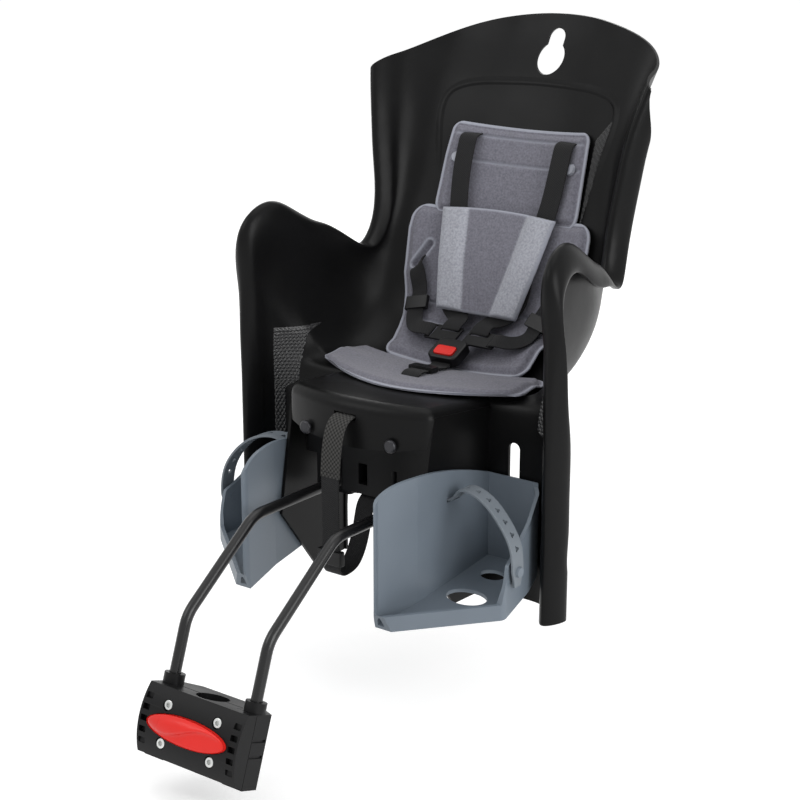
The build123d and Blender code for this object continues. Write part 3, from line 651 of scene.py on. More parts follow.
class Finishes:
    """All materials of the seat, by name."""

    def __init__(self) -> None:
        """Build each finish once."""
        groups = ShaderGroups()
        looks = (
            Moulding("shell_plastic", (0.0050, 0.0050, 0.0052), 0.34, bump=0.08, grain=1400.0, specular=0.11),
            # dimpled panels: the same black plastic as the shell, with a paler colour that paints in the
            # glints on their bumps
            Moulding("dimple_plastic_painted_highlight", (0.026, 0.026, 0.027), 0.26, bump=0.05, grain=1400.0, specular=0.45),
            Moulding("block_plastic", (0.0058, 0.0058, 0.0062), 0.42, bump=0.10, specular=0.16),
            Moulding("buckle_plastic", (0.0062, 0.0062, 0.0066), 0.34, specular=0.24),
            Moulding("black_rod", (0.005, 0.005, 0.0055), 0.28, bump=0.03, specular=0.4),
            Moulding("black_bolt", (0.03, 0.03, 0.034), 0.34, metallic=0.6),
            Moulding("zinc", (0.62, 0.63, 0.62), 0.30, metallic=1.0, bump=0.04),
            Moulding("red_plastic", (0.74, 0.020, 0.014), 0.28, bump=0.03, shade=0.05, specular=0.30),
            Moulding("grey_plastic", (0.140, 0.168, 0.200), 0.44, bump=0.08, shade=0.05, specular=0.4),
            Moulding("grey_strap", (0.150, 0.172, 0.195), 0.50, bump=0.08, shade=0.05, specular=0.4),
            Moulding("clear_plastic", (0.26, 0.27, 0.31), 0.22, bump=0.02),
            Webbing("webbing", (0.005, 0.005, 0.0055), (0.022, 0.022, 0.023)),
            Webbing("coarse_webbing", (0.004, 0.004, 0.004), (0.066, 0.065, 0.062),
                    pick=0.0050, rib=0.0048, bump=1.0),
            # the weld colour is a painted highlight on the pressed edges
            Felt("felt", dark=(0.118, 0.117, 0.142), pale=(0.192, 0.190, 0.228),
                 sleeve=(0.400, 0.410, 0.460), weld_and_highlight=(0.300, 0.312, 0.365)),
        )
        self.made = {look.name: look.build(groups) for look in looks}

    def __getitem__(self, name: str) -> bpy.types.Material:
        """Material of that name."""
        return self.made[name]


@dataclass
class Ribbon:
    """Flat strap carried along a smooth path.

    The path is a natural spline through the route's points. Its section is a rounded slab that
    stays square to the path and as near as it can to the across directions.
    """

    route: Sequence[Point]
    width: float
    thickness: float
    across: Sequence[Point] = ((1, 0, 0),)
    step: float = 2.0
    section: int = 28
    taper: Callable[[Array], Array] | None = None

    def frames(self, count: int) -> tuple[Array, Array, Array, Array, Array]:
        """Points, tangents, across and normal directions along the path, and its lengths.

        Args:
            count: number of places along the path.

        Returns:
            Five arrays: points, tangents, across directions, normals, shape (count, 3), and lengths.
        """
        route = np.asarray(self.route, float)
        marks = chord_marks(route)
        spline = NaturalSpline(marks, route)
        t = np.linspace(0, marks[-1], count)
        points = spline.at(t)
        tangents = unit(np.gradient(points, t, axis=0))
        wanted = np.asarray(self.across, float)
        if len(wanted) == 1:
            side = np.repeat(wanted, count, axis=0)
        else:
            side = np.stack([np.interp(t, marks, wanted[:, k]) for k in range(3)], axis=1)
        side = unit(side - tangents * np.sum(side * tangents, axis=1, keepdims=True))
        return points, tangents, side, np.cross(tangents, side), chord_marks(points)

    def build(self, name: str) -> bpy.types.Object:
        """Sweep the section along the path and close its ends.

        Args:
            name: name of the object.

        Returns:
            The strap.
        """
        length = chord_marks(np.asarray(self.route, float))[-1]
        count = max(8, int(length / self.step))
        points, _, side, normal, run = self.frames(count)
        profile = rounded_slab(self.width, self.thickness, self.section)
        wide = np.ones(count) if self.taper is None else self.taper(run / run[-1])
        grid = (points[:, None] + side[:, None] * (profile[None, :, :1] * wide[:, None, None])
                + normal[:, None] * profile[None, :, 1:])
        uv = np.stack(np.broadcast_arrays(run[:, None], profile[None, :, 0]), axis=-1)
        return MeshMaker.from_grid(name, grid, uv=uv, closed=True, caps=True)


@dataclass
class Pad:
    """Felt pad laid in the bucket.

    Stations follow the shell's middle line as (y, z), with a half width and the sag of the dish.
    The top is a crowned sheet that falls to a thin welded rim, with pressed channels across it.
    """

    stations: Sequence[tuple[tuple[float, float], float, float]]
    gap: float = 1.0
    rim: float = 2.8
    full: float = 7.4
    border: float = 4.0
    corner: float = 16.0
    channels: Sequence[float] = ()
    rows: int = 150
    columns: int = 110
    lift: float = 0.0
    bow: float = 0.0
    bow_run: float = 130.0
    bow_power: float = 1.8
    swell: float = 8.0
    edge_roll: float = 1.6
    edge_share: float = 0.45
    seam: float = 1.6
    seam_half: float = 1.2
    seam_depth: float = 0.6
    channel_half: float = 1.8
    channel_end: float = 6.0
    pressed: float = 0.55
    weld_blend: float = 1.2
    slit: tuple[float, float, float, float] | None = None
    slit_half: float = 3.2
    slit_depth: float = 0.75
    lip_away: float = 5.2
    lip_half: float = 1.5
    lip_rise: float = 0.8

    def build(self, name: str) -> bpy.types.Object:
        """Make the closed pad.

        Args:
            name: name of the object.

        Returns:
            The pad, with the welds' attribute on its points; the felt paints the welds paler as a highlight.
        """
        middle = np.array([place_at for place_at, _, _ in self.stations], float)
        marks = chord_marks(middle)
        spline = NaturalSpline(marks, middle)
        length = marks[-1]
        s = length * (0.5 - 0.5 * np.cos(np.linspace(0, math.pi, self.rows)))
        centre = spline.at(s)
        slope = unit(np.gradient(centre, s, axis=0))
        front = np.stack([-slope[:, 1], slope[:, 0]], axis=1)
        half = np.interp(s, marks, [w for _, w, _ in self.stations])
        dish = np.interp(s, marks, [g / w**2 for _, w, g in self.stations])
        near_end = np.minimum(s, length - s)
        into_corner = np.maximum(self.corner - near_end, 0)
        half = half - self.corner + np.sqrt(np.maximum(self.corner**2 - into_corner**2, 0))
        a = np.sin(np.linspace(-math.pi / 2, math.pi / 2, self.columns))
        x = half[:, None] * a[None, :]
        edge = np.minimum(half[:, None] - np.abs(x), near_end[:, None])
        puff = smoothstep(self.border, self.border + self.swell, edge)
        stitch = np.exp(-((edge - self.border - self.seam) / self.seam_half) ** 2)
        groove = np.zeros_like(x)
        for channel in self.channels:
            line = np.exp(-((s[:, None] - channel * length) / self.channel_half) ** 2)
            groove = np.maximum(groove, line * smoothstep(self.border, self.border + self.channel_end, edge))
        hole, lip = self.slit_marks(x, centre[:, 1])
        thick = self.rim + (self.full - self.rim) * puff * (1 - self.pressed * groove)
        thick = (thick - self.seam_depth * stitch) * (1 - self.slit_depth * hole) + self.lip_rise * lip
        roll = np.sqrt(np.clip(edge / self.edge_roll, 0, 1))
        base = dish[:, None] * x**2 + self.gap + self.lift
        fade = np.clip(1 - s / self.bow_run, 0, 1)[:, None]
        shift = self.bow * np.abs(a)[None, :] ** self.bow_power * fade
        top = base + thick * (self.edge_share + (1 - self.edge_share) * roll)
        border = 1 - smoothstep(self.border - self.weld_blend, self.border, edge)
        # pressed rim, channels and slit lips: smoother felt, painted paler as a highlight
        weld_and_highlight = np.clip(border + self.pressed * groove + lip, 0, 1)
        height, along = both_faces(top, base)[..., None], both_faces(shift)[..., None]
        spot = centre[:, None] + front[:, None] * height + slope[:, None] * along
        grid = np.concatenate([both_faces(x)[..., None], spot], axis=-1)
        return MeshMaker.from_grid(name, grid, closed=True, caps=True, attributes={"weld_and_highlight": both_faces(weld_and_highlight)})

    def slit_marks(self, x: Array, z: Array) -> tuple[Array, Array]:
        """Masks of the leaning slits on both sides: the hole itself and the welded lip round it.

        Args:
            x: place across the pad, shape (rows, columns).
            z: height of each row's middle, shape (rows,).

        Returns:
            Hole and lip, each 0 to 1, shaped as x.
        """
        if self.slit is None:
            return np.zeros_like(x), np.zeros_like(x)
        slit_x, slit_z, turn, reach = self.slit
        c, s = cos_sin(turn)
        dx, dz = np.abs(x) - slit_x, z[:, None] - slit_z
        along, across = dz * c - dx * s, dx * c + dz * s
        away = np.hypot(across, np.maximum(np.abs(along) - reach, 0))
        return np.exp(-(away / self.slit_half) ** 4), np.exp(-((away - self.lip_away) / self.lip_half) ** 2)


@dataclass
class Padding:
    """Back pad in two panels, and the seat pad."""

    upper: Pad = field(default_factory=lambda: Pad(
        (((532, 434), 97, 12.0), ((538, 449), 98, 12.5), ((556, 500), 96, 14), ((571, 538), 93, 14)),
        channels=(0.60, 0.87), full=6.6, corner=12.0))
    lower: Pad = field(default_factory=lambda: Pad(
        (((417, 281), 100, 8), ((432, 284.8), 98, 9.5), ((446, 291), 97, 10.3), ((459, 302), 98, 11),
         ((480, 316), 106, 12), ((496, 338), 112, 13), ((507, 362), 120, 15), ((524, 413), 124, 17),
         ((535, 442), 122, 16.5)),
        channels=(0.304, 0.450), full=7.8, corner=20.0, lift=0.5, rows=240, slit=(98, 386, 30, 15)))
    seat: Pad = field(default_factory=lambda: Pad(
        (((299, 289.4), 134, 5), ((325, 287.2), 135, 5), ((352, 286), 135, 6), ((370, 285.5), 136, 6.5),
         ((388, 283.2), 134, 7), ((415, 280.9), 124, 8)),
        full=6.6, corner=14.0, bow=52.0))

    def build(self, finishes: Finishes) -> None:
        """Make and dress the pads.

        Args:
            finishes: materials of the seat.
        """
        pads = (("back_pad_upper", self.upper, "back_pad"), ("back_pad_lower", self.lower, "back_pad"),
                ("seat_pad_sheet", self.seat, "seat_pad"))
        for name, pad, node in pads:
            made = place(pad.build(name), Body.SEAT, "felt", finishes["felt"], node)


@dataclass
class ChestPad:
    """Trapezoid pad with a sleeve for each shoulder strap.

    Each row, from the top down, has the middle of the right strap and the pad's half width there.
    """

    rows: Sequence[tuple[Point, float]] = (
        ((60, 517, 450), 77.6), ((50, 494, 395), 67.0), ((39, 474, 342), 55.0))
    step: float = 5.5
    counts: tuple[int, int] = (90, 120)
    sheet: float = 2.0
    under: float = 2.6
    crown: float = 0.9
    sleeve_half: float = 17.0
    sleeve_rise: float = 4.6
    fold_in: float = 20.0
    fold_half: float = 1.8
    fold_depth: float = 0.9
    edge_roll: float = 3.0
    weld_and_highlight: tuple[float, float] = (1.0, 3.6)
    flank: tuple[float, float] = (-22.0, -18.0)
    arch: float = 7.0
    arch_turn: float = 1.2
    arch_from: float = 0.45
    drop: float = 4.0

    def build(self, finishes: Finishes) -> None:
        """Make the pad: a sheet that swells over both straps and is thin between them.

        Args:
            finishes: materials of the seat.
        """
        table = np.array([(*spot, half) for spot, half in self.rows], float)[::-1]
        levels = table[:, 2]
        tall = levels[-1] - levels[0]
        v = np.linspace(0, 1, self.counts[0])
        z = levels[0] + tall * v
        strap, y, half = (np.interp(z, levels, table[:, column])[:, None] for column in (0, 1, 3))
        x = half * np.sin(np.linspace(-math.pi / 2, math.pi / 2, self.counts[1]))
        near = np.minimum(half - np.abs(x), (tall * np.minimum(v, 1 - v))[:, None])
        off_strap = np.abs(x) - strap
        sleeve = np.exp(-(off_strap / self.sleeve_half) ** 4)
        fold = np.exp(-((off_strap + self.fold_in) / self.fold_half) ** 2)
        edge = np.sqrt(np.clip(near / self.edge_roll, 0, 1))
        thick = self.sheet + self.sleeve_rise * sleeve + self.crown * (1 - (x / half) ** 2)
        height = both_faces((thick - self.fold_depth * fold) * edge, -self.under * edge)
        wide = both_faces(x)
        arch = self.arch * np.cos(wide / half * self.arch_turn)
        rise = arch * smoothstep(self.arch_from, 1.0, v)[:, None] - self.drop
        lean = math.atan2(table[-1, 1] - table[0, 1], tall)
        c, s = math.cos(lean), math.sin(lean)
        deep = y - self.step - height * c + rise * s
        grid = np.stack([wide, deep, z[:, None] + height * s + rise * c], axis=-1)
        # pressed edge of the pad, painted paler as a highlight in the felt
        marks = {"weld_and_highlight": both_faces(1 - smoothstep(*self.weld_and_highlight, near)),
                 "flank": both_faces(smoothstep(*self.flank, off_strap))}
        made = MeshMaker.from_grid("chest_pad_sleeves", grid, closed=True, caps=True, attributes=marks)
        place(made, Body.SEAT, "felt", finishes["felt"], "chest_pad")


@dataclass
class Harness:
    """Shoulder, hip and crotch straps with their buckle."""

    width: float = 24.0
    hip_width: float = 20.0
    thickness: float = 1.8
    centre: Point = (0.0, 415.0, 304.5)
    tilt: float = 27.0
    shoulder: Sequence[Point] = (
        (65.4, 572, 530), (65.4, 554, 530.5), (65.4, 544.5, 528), (65.3, 540, 520), (65, 532.5, 500),
        (60, 517, 450), (50, 494, 395), (39, 474, 342))
    hip: Sequence[Point] = (
        (98, 519, 386), (98, 500, 383), (97.5, 488, 380), (89, 480, 355), (84, 468, 340), (79, 456, 325))
    hip_across: Sequence[Point] = (
        *((-0.5, 0.32, 0.87),) * 3, (-0.85, 0.2, 0.5), (-1, 0, 0), (-0.7, 0.6, 0.4))
    crotch: Sequence[Point] = (
        (0, 340, 272), (0, 340, 287), (0, 341, 293.4), (0, 345.5, 296.6), (0, 358, 296.6), (0, 374, 295.7),
        (0, 385, 294.4))
    crotch_end: Sequence[Point] = ((0, -22, -1.6), (0, -12, -1.6))
    shoulder_bar: tuple[float, float] = (20, 35)
    hip_bar: tuple[float, float] = (41, 29)
    fold: Sequence[tuple[float, float]] = ((17, 2.9), (3, 2.9), (-0.3, 1.6))
    fittings: Sequence[str] = (
        "harness_buckle", "crotch_slide", "buckle_tongue_left", "buckle_tongue_right",
        "strap_adjuster_left", "strap_adjuster_right", "safety_strap_buckle")

    def local(self, x: float, y: float, z: float) -> Point:
        """Point in the buckle's leaning frame, in the part's frame."""
        c, s = cos_sin(self.tilt)
        return (self.centre[0] + x, self.centre[1] + y * c - z * s, self.centre[2] + y * s + z * c)

    def build(self, finishes: Finishes) -> None:
        """Make the straps and dress the solids of the buckles, tongues, adjusters and slide.

        Args:
            finishes: materials of the seat.
        """
        upward = (0.0, *cos_sin(self.tilt))
        web = finishes["webbing"]
        for name, k in SIDES:
            x, y = self.shoulder_bar
            end = [self.local(k * x, y + run, z) for run, z in self.fold]
            strap = Ribbon([*on_side(k, self.shoulder), *end], self.width, self.thickness)
            place(strap.build(f"shoulder_strap_web_{name}"), Body.SEAT, "webbing", web,
                  f"shoulder_strap_{name}")
            x, y = self.hip_bar
            end = [self.local(k * (x + run), y, z) for run, z in self.fold]
            across = [*on_side(k, self.hip_across), upward, upward, upward]
            strap = Ribbon([*on_side(k, self.hip), *end], self.hip_width, self.thickness, across)
            place(strap.build(f"hip_strap_web_{name}"), Body.SEAT, "webbing", web, f"hip_strap_{name}")
        end = [self.local(*spot) for spot in self.crotch_end]
        strap = Ribbon([*self.crotch, *end], self.width, self.thickness)
        place(strap.build("crotch_strap_web"), Body.SEAT, "webbing", web, "crotch_strap")
        for node in self.fittings:
            made = MeshMaker.merged_copy(node, node + "_moulding")
            MeshMaker.soften(made, 0.6)
            place(made, Body.SEAT, "buckle_plastic", finishes["buckle_plastic"], node)
        made = MeshMaker.merged_copy("buckle_button", "buckle_button_cap")
        MeshMaker.soften(made, 0.4)
        place(made, Body.BUCKLE, "red_plastic", finishes["red_plastic"], "buckle_button")


@dataclass
class SafetyStrap:
    """Loop of webbing that hangs in front of the housing."""

    front: float = 201.0
    width: float = 24.0
    thickness: float = 1.8

    def build(self, finishes: Finishes) -> None:
        """Make the strap's coarse upper end and its plain loop.

        Args:
            finishes: materials of the seat.
        """
        f = self.front
        upper = [(0, 236, 276), (0, 226, 276.2), (0, 216, 272), (0, f + 5.5, 255), (0, f + 1.2, 230),
                 (0, f, 214)]
        strap = Ribbon(upper, self.width + 1, self.thickness + 0.7).build("safety_strap_end")
        place(strap, Body.SEAT, "webbing", finishes["coarse_webbing"], "safety_strap")
        lower = [(0, f, 220), (0, f, 190), (0, f, 135), (0, f + 0.4, 116), (0, f + 5, 105.5),
                 (0, f + 18, 103.5), (0, 232, 107), (0, 246, 123), (0, 257, 155), (0, 263, 169),
                 (0, 272, 175.2), (0, 296, 175.4)]
        strap = Ribbon(lower, self.width - 1, self.thickness).build("safety_strap_loop")
        place(strap, Body.SEAT, "webbing", finishes["webbing"], "safety_strap")


@dataclass
class Footrests:
    """Two sliding footrests with perforated straps.

    The route's fourth number is the share of the lift that a point takes.
    """

    route: Sequence[tuple[float, float, float, float]] = (
        (100.2, 280, 191, 0), (106, 279.5, 191.6, 0.2), (121, 274, 201.5, 0.8), (150, 268, 200, 1),
        (180, 262, 180, 1), (196, 259, 160, 0.6), (199.4, 258, 147, 0.2), (199.3, 258, 122, 0))
    width: float = 20.0
    thickness: float = 3.0
    tail_from: float = 0.88
    tail_narrowing: float = 0.45
    holes: int = 8
    hole_span: tuple[float, float] = (24, 150)
    hole_steps: int = 200
    hole_radius: float = 2.7
    hole_lobe: float = 0.9
    hole_reach: float = 6.0
    crease: float = 40.0
    lift: dict[str, float] = field(default_factory=lambda: {"left": 16.0, "right": 6.0})

    def hole_outline(self) -> Array:
        """Three-lobed hole: a circle whose radius swells three times round.

        Returns:
            Points in order round the hole, shape (24, 2).
        """
        turn = np.linspace(0, 2 * math.pi, 24, endpoint=False)
        radius = self.hole_radius + self.hole_lobe * np.cos(3 * turn)
        return np.stack([radius * np.cos(turn), radius * np.sin(turn)], axis=1)

    def build(self, finishes: Finishes) -> None:
        """Make the straps, cut their holes and dress the trays.

        Args:
            finishes: materials of the seat.
        """
        for name, k in SIDES:
            route = [(k * x, y, z + share * self.lift[name]) for x, y, z, share in self.route]
            ribbon = Ribbon(route, self.width, self.thickness, ((0, 1, 0),),
                            taper=lambda t: 1 - self.tail_narrowing * smoothstep(self.tail_from, 1.0, t))
            strap = ribbon.build(f"foot_strap_band_{name}")
            points, tangent, side, normal, _ = ribbon.frames(self.hole_steps)
            at = np.linspace(*self.hole_span, self.holes).astype(int)
            outline = self.hole_outline()
            ring = (points[at][:, None] + side[at][:, None] * outline[None, :, :1]
                    + tangent[at][:, None] * outline[None, :, 1:])
            for i in range(self.holes):
                through = normal[at[i]] * self.hole_reach
                prism = np.stack([ring[i] - through, ring[i] + through])
                MeshMaker.cut(strap, MeshMaker.from_grid("hole", prism, closed=True, caps=True))
            MeshMaker.smooth(strap.data, self.crease)
            place(strap, foot_body(name), "grey_strap", finishes["grey_strap"], f"foot_strap_{name}")
            tray = MeshMaker.merged_copy(f"footrest_{name}", f"footrest_tray_{name}")
            MeshMaker.soften(tray, 1.2, segments=3)
            place(tray, foot_body(name), "grey_plastic", finishes["grey_plastic"], f"footrest_{name}")


@dataclass
class ReleaseButton:
    """Oval red button with a ridge that runs in a long S."""

    half_length: float = 52.0
    half_height: float = 14.0
    back: float = 26.3
    thickness: float = 10.0
    tube_tilt: float = 20.0
    rim_share: float = 0.62
    dome_power: float = 2.6
    swing: float = 0.55
    swing_turn: float = 0.9
    ridge: float = 2.4
    ridge_slope: float = 9.0
    sink: float = 1.6
    wall_share: float = 0.6
    wall_rows: int = 6
    crease: float = 50.0

    def build(self, finishes: Finishes) -> None:
        """Make the button: a domed oval with a soft step along an S across its face.

        Args:
            finishes: materials of the seat.
        """
        turn = np.linspace(0, 2 * math.pi, 160, endpoint=False)
        inner = np.linspace(0.0, 1.0, 40)[1:]
        u = inner[:, None] * np.cos(turn)[None, :]
        v = inner[:, None] * np.sin(turn)[None, :]
        fall = np.sqrt(np.clip(1 - inner**self.dome_power, 0, 1))[:, None]
        dome = self.thickness * (self.rim_share + (1 - self.rim_share) * fall)
        crest = v - self.swing * np.sin(u * math.pi * self.swing_turn)
        ridge = self.ridge * np.tanh(crest * self.ridge_slope) * (1 - inner[:, None] ** 3)
        wall = np.linspace(self.wall_share, 0.0, self.wall_rows)[:, None] * self.thickness
        height = np.concatenate([dome + ridge - self.sink, wall * np.ones_like(turn)])
        u, v = (np.concatenate([part, np.repeat(part[-1:], self.wall_rows, axis=0)]) for part in (u, v))
        c, s = cos_sin(self.tube_tilt)
        out = self.back + height
        up = v * self.half_height
        grid = np.stack([u * self.half_length, -out * c + up * s, out * s + up * c], axis=-1)
        made = MeshMaker.from_grid("release_button_cap", grid, closed=True, caps=True)
        MeshMaker.smooth(made.data, self.crease)
        place(made, Body.RELEASE, "red_plastic", finishes["red_plastic"], "release_button")


@dataclass
class HardPieces:
    """Moulded and metal solids that keep their shape, with softened edges."""

    pieces: Sequence[tuple[str, Body, str, float]] = (
        ("shell", Body.SEAT, "shell_plastic", 0.9),
        ("base_housing", Body.SEAT, "block_plastic", 1.2),
        ("housing_bolts", Body.SEAT, "black_bolt", 0.3),
        ("rod_saddle_left", Body.SEAT, "block_plastic", 0.8),
        ("rod_saddle_right", Body.SEAT, "block_plastic", 0.8),
        ("saddle_screws", Body.SEAT, "zinc", 0.3),
        ("support_fork", Body.SEAT, "black_rod", 0.0),
        ("pad_snaps", Body.SEAT, "clear_plastic", 0.4),
        ("block_front_half", Body.BLOCK, "block_plastic", 0.8),
        ("block_rear_half", Body.BLOCK, "block_plastic", 0.8),
        ("block_bolts", Body.BLOCK, "zinc", 0.3),
        ("block_nuts", Body.BLOCK, "zinc", 0.3),
    )
    rim_foot: Point = (165.0, 485.5, 480.0)
    rim_lean: tuple[float, float] = (0.175, 0.230)
    rim_clearance: float = 1.0
    roll_depth: float = 27.0
    corner_depth: float = 3.0
    corner_z: float = 600.0
    sweep_run: float = 70.0
    sweep_z: tuple[float, float] = (630.0, 528.0)
    sweep_rows: int = 40
    outside: tuple[float, float] = (260.0, 720.0)

    def sweep_wings(self, made: bpy.types.Object) -> None:
        """Trim the rolled rim of both wings, so that its rear edge sweeps forward to the crown's corner.

        The rim's crest is a straight line that leans out and back as it rises. Behind it the roll keeps its
        full depth low down, and a soft step takes that to the corner's depth at the top.

        Args:
            made: copy of the shell.
        """
        z = np.linspace(*self.sweep_z, self.sweep_rows)
        up = z - self.rim_foot[2]
        x = self.rim_foot[0] + self.rim_lean[0] * up + self.rim_clearance
        crest = self.rim_foot[1] + self.rim_lean[1] * up
        low_down = smoothstep(0, self.sweep_run, self.corner_z - z)
        y = crest + self.corner_depth + (self.roll_depth - self.corner_depth) * low_down
        far_x, far_y = (np.full_like(z, far) for far in self.outside)
        for _, k in SIDES:
            corners = [np.stack([k * across, deep, z], axis=-1)
                       for across, deep in ((x, y), (far_x, y), (far_x, far_y), (x, far_y))]
            block = MeshMaker.from_grid("sweep", np.stack(corners, axis=1), closed=True, caps=True)
            MeshMaker.cut(made, block)
        MeshMaker.smooth(made.data)

    def build(self, finishes: Finishes) -> None:
        """Copy each solid, round its edges and dress it.

        Args:
            finishes: materials of the seat.
        """
        for node, body, slot, width in self.pieces:
            made = MeshMaker.merged_copy(node, node + "_finish")
            if node == "shell":
                self.sweep_wings(made)
            if width:
                MeshMaker.soften(made, width)
            place(made, body, slot, finishes[slot], node)


@dataclass
class ShellDetails:
    """Dimpled panels and the lip round the recess of the back, laid on the shell."""

    pitch: float = 4.6
    rise: float = 1.2
    sunk: float = 0.9
    row_share: float = 0.866
    bump_share: float = 0.42
    panel_level: float = 0.45
    panel_edge: tuple[float, float] = (0.2, 2.2)
    panel_foot: float = -0.3
    recess: Sequence[tuple[float, float]] = (
        (102, 470), (109, 515), (115.5, 550), (112, 572), (92, 582.5), (55, 586.5), (0, 588))
    lip_band: tuple[float, float] = (-5.0, 9.0)
    lip_rise: float = 1.5
    lip_foot: float = -0.2
    lip_fade: float = 70.0
    back_start: float = 420.0
    guard_start: float = 250.0
    guard_z: tuple[float, float] = (182.0, 322.0)
    guard_x: tuple[float, float] = (179.0, 189.0)
    guard_step: tuple[float, float, float] = (16.0, 248.0, 262.0)

    @staticmethod
    def lay(x: Array, z: Array, start: float) -> tuple[Array, Array]:
        """Slide a grid of places along +Y until it lies on the shell.

        Args:
            x: place across, shape (rows, columns).
            z: height, shape (rows, columns).
            start: depth to start from.

        Returns:
            Points on the shell and unit normals that face forward, shape (rows, columns, 3).
        """
        made = MeshMaker.from_grid("laid_grid", np.stack([x, np.full_like(x, start), z], axis=-1))
        wrap = made.modifiers.new("lay", "SHRINKWRAP")
        wrap.wrap_method = "PROJECT"
        wrap.use_project_x, wrap.use_project_y, wrap.use_project_z = False, True, False
        wrap.use_positive_direction, wrap.use_negative_direction = True, False
        wrap.target = bpy.data.objects["shell_finish"]
        laid = made.evaluated_get(bpy.context.evaluated_depsgraph_get())
        flat = np.empty(3 * x.size, np.float32)
        laid.data.vertices.foreach_get("co", flat)
        points = flat.reshape(*x.shape, 3).astype(float) / MM
        bpy.data.objects.remove(made)
        normal = unit(np.cross(np.gradient(points, axis=0), np.gradient(points, axis=1)))
        return points, np.where(normal[..., 1:2] > 0, -normal, normal)

    def slab(self, name: str, points: Array, normal: Array, height: Array) -> bpy.types.Object:
        """Close a laid sheet: its top stands at a height over the shell, its underside is sunk.

        Args:
            name: name of the object.
            points: places on the shell, shape (rows, columns, 3).
            normal: directions off the shell, same shape.
            height: height of the top, shape (rows, columns).

        Returns:
            The closed sheet.
        """
        sheet = both_faces(points + normal * height[..., None], points - normal * self.sunk)
        return MeshMaker.from_grid(name, sheet, closed=True, caps=True)

    def dimples(self, points: Array) -> Array:
        """Heights of round bumps in a close-packed pattern, faded out at the panel's edge.

        Every other row of bumps is moved by half a pitch. Each bump is a dome: its height goes with the
        root of one less the square of the distance from its middle, counted in the bump's radius.

        Args:
            points: places on the shell, shape (rows, columns, 3).

        Returns:
            Height over the shell, shape (rows, columns).
        """
        rows, columns = points.shape[:2]
        u = chord_marks(points[:, columns // 2])[:, None] * np.ones((1, columns))
        across = np.linalg.norm(np.diff(points, axis=1), axis=2)
        v = np.concatenate([np.zeros((rows, 1)), np.cumsum(across, axis=1)], axis=1)
        row_pitch = self.row_share * self.pitch
        row = np.round(u / row_pitch)
        du = u - row * row_pitch
        dv = np.mod(v + 0.5 * self.pitch * np.mod(row, 2), self.pitch) - self.pitch / 2
        bump = np.clip(1 - (du**2 + dv**2) / (self.bump_share * self.pitch) ** 2, 0, 1)
        edge = np.minimum(np.minimum(u, u[-1:] - u), np.minimum(v, v[:, -1:] - v))
        raised = self.panel_level + self.rise * np.sqrt(bump)
        return self.panel_foot + smoothstep(*self.panel_edge, edge) * raised

    def recess_lip(self) -> tuple[Array, Array, Array]:
        """Soft step round the recess: up one side, over its arched top and down the other.

        Its line is a natural spline through the recess's points and their mirror images; the lip's height
        rises over 4 mm across that line, fades out over 8 mm outside it and fades at both feet.

        Returns:
            Points, normals and heights of the lip.
        """
        half = np.asarray(self.recess, float)
        line = np.concatenate([half, half[-2::-1] * (-1, 1)])
        marks = chord_marks(line)
        t = np.linspace(0, marks[-1], 360)
        path = NaturalSpline(marks, line).at(t)
        run = unit(np.gradient(path, t, axis=0))
        w = np.linspace(*self.lip_band, 26)
        x = path[:, :1] + run[:, 1:] * w
        z = path[:, 1:] - run[:, :1] * w
        points, normal = self.lay(x, z, self.back_start)
        height = self.lip_rise * smoothstep(-3, 1.0, w) * (1 - smoothstep(1.5, self.lip_band[1], w))
        height = height * smoothstep(0, self.lip_fade, np.minimum(t, marks[-1] - t))[:, None]
        return points, normal, height + self.lip_foot

    def build(self, finishes: Finishes) -> None:
        """Make the panels and the lip.

        Args:
            finishes: materials of the seat.
        """
        sheets = {"back_recess_lip": self.recess_lip()}
        a = np.linspace(0, 1, 60)[None, :]
        up = np.linspace(0, 1, 150)[:, None]
        points, normal = self.lay(97.5 + (2 + 19 * up) * a, 440 + (96 + 28 * a) * up, self.back_start)
        sheets["back_dimples"] = (points, normal, self.dimples(points))
        for name, k in SIDES:
            z = np.linspace(*self.guard_z, 180)[:, None] * np.ones_like(a)
            step, step_low, step_high = self.guard_step
            inner = self.guard_x[0] - step * smoothstep(step_low, step_high, z)
            points, normal = self.lay(k * (inner + (self.guard_x[1] - inner) * a), z, self.guard_start)
            sheets[f"guard_dimples_{name}"] = (points, normal, self.dimples(points))
        for name, (points, normal, height) in sheets.items():
            # the dimpled panels take the paler finish, a painted highlight of the glints on their bumps
            finish = finishes["dimple_plastic_painted_highlight" if "dimples" in name else "shell_plastic"]
            place(self.slab(name, points, normal, height), Body.SEAT, "shell_plastic", finish)


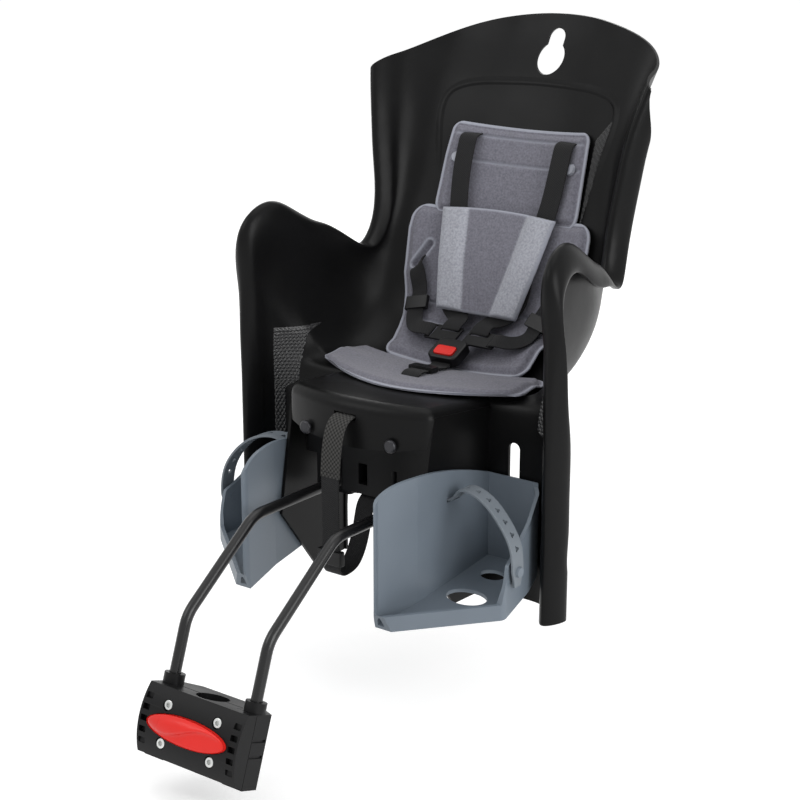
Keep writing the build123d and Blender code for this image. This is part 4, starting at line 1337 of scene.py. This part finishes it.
@dataclass
class Studio:
    """Pale floor, soft light and the camera of the photograph."""

    eye: Point = (1.1375, -1.1864, 0.8327)
    target: Point = (0.0, 0.3232, 0.2704)
    lens: float = 81.0
    floor_level: float = -0.075
    floor_reach: float = 30.0
    floor_glow: tuple[float, float, float, float] = (0.8, 3.0, 0.34, 0.50)
    world_strength: tuple[float, float] = (0.58, 1.0)
    lit_spot: Point = (0.0, 0.35, 0.3)
    lamps: Sequence[tuple[str, Point, float, float]] = (
        ("key_softbox", (-1.3, -1.6, 2.3), 1.6, 20.0),
        ("fill_softbox", (2.4, -0.3, 1.1), 1.5, 34.0),
        ("top_softbox", (0.2, 0.4, 2.6), 1.8, 13.0),
        ("rear_softbox", (-1.4, 2.2, 1.6), 1.4, 14.0),
    )

    def build(self) -> None:
        """Set up the camera, the floor, the world and the lamps."""
        scene = bpy.context.scene
        scene.view_settings.view_transform = "Standard"
        camera = bpy.data.cameras.new("photo_camera")
        camera.lens, camera.sensor_width = self.lens, 36.0
        camera.clip_start, camera.clip_end = 0.05, 50
        scene.camera = self._stand("photo_camera", camera, self.eye, self.target)
        self._floor()
        self._world()
        for name, spot, size, power in self.lamps:
            lamp = bpy.data.lights.new(name, "AREA")
            lamp.shape, lamp.size, lamp.energy = "SQUARE", size, power
            self._stand(name, lamp, spot, self.lit_spot)

    @staticmethod
    def _stand(name: str, data: bpy.types.ID, spot: Point, target: Point) -> bpy.types.Object:
        """Stand a camera or a lamp at a spot, turned to a target.

        Args:
            name: name of the object.
            data: the camera or lamp.
            spot: where it stands, in metres.
            target: what it faces.

        Returns:
            The object.
        """
        holder = add_object(name, data)
        holder.location = spot
        holder.rotation_euler = (Vector(target) - Vector(spot)).to_track_quat("-Z", "Y").to_euler()
        return holder

    def _floor(self) -> None:
        """Wide pale floor under the seat."""
        mesh = bpy.data.meshes.new("studio_floor")
        r, z = self.floor_reach, self.floor_level
        mesh.from_pydata([(-r, -r, z), (r, -r, z), (r, r, z), (-r, r, z)], [], [(0, 1, 2, 3)])
        floor = add_object("studio_floor", mesh)
        material, nodes, shader = new_material("pale_floor")
        noise = nodes.add("ShaderNodeTexNoise")
        noise.inputs["Scale"].default_value = 3.0
        nodes.link(nodes.mix(noise.outputs["Fac"], (0.88, 0.88, 0.88, 1), (0.91, 0.91, 0.91, 1)),
                   shader.inputs["Base Color"])
        shader.inputs["Roughness"].default_value = 0.9
        shader.inputs["Specular IOR Level"].default_value = 0.0
        away = nodes.add("ShaderNodeVectorMath", operation="LENGTH")
        nodes.link(nodes.add("ShaderNodeTexCoord").outputs["Object"], away.inputs[0])
        glow = nodes.ramp(away.outputs["Value"], *self.floor_glow)
        level = nodes.math("MULTIPLY", self.seen(nodes), glow)
        nodes.link(nodes.mix(level, (0.0, 0.0, 0.0, 1), (1.0, 1.0, 1.0, 1)), shader.inputs["Emission Color"])
        shader.inputs["Emission Strength"].default_value = 1.0
        mesh.materials.append(material)

    @staticmethod
    def seen(nodes: NodeTree) -> bpy.types.NodeSocket:
        """Mask of the rays that look at the background: from the camera, in reflections or through glass.

        Args:
            nodes: tree that the mask goes into.

        Returns:
            The mask's socket.
        """
        path = nodes.add("ShaderNodeLightPath")
        mirrored = nodes.math("MAXIMUM", path.outputs["Is Glossy Ray"], path.outputs["Is Transmission Ray"])
        return nodes.math("MAXIMUM", path.outputs["Is Camera Ray"], mirrored)

    def _world(self) -> None:
        """Even pale surroundings, white where they are looked at."""
        world = bpy.data.worlds.new("studio")
        bpy.context.scene.world = world
        world.use_nodes = True
        nodes = NodeTree(world.node_tree)
        light = world.node_tree.nodes["Background"]
        light.inputs["Color"].default_value = (1, 1, 1, 1)
        nodes.link(nodes.ramp(self.seen(nodes), 0, 1, *self.world_strength), light.inputs["Strength"])


def main() -> None:
    """Build every sub-assembly in order."""
    logging.basicConfig(level=logging.INFO, format="%(name)s: %(message)s")
    Studio().build()
    finishes = Finishes()
    assemblies = (HardPieces(), ShellDetails(), Padding(), ChestPad(), Harness(), SafetyStrap(), Footrests(),
                  ReleaseButton())
    for assembly in assemblies:
        assembly.build(finishes)
        log.info("built %s", type(assembly).__name__)


if __name__ == "__main__":
    main()
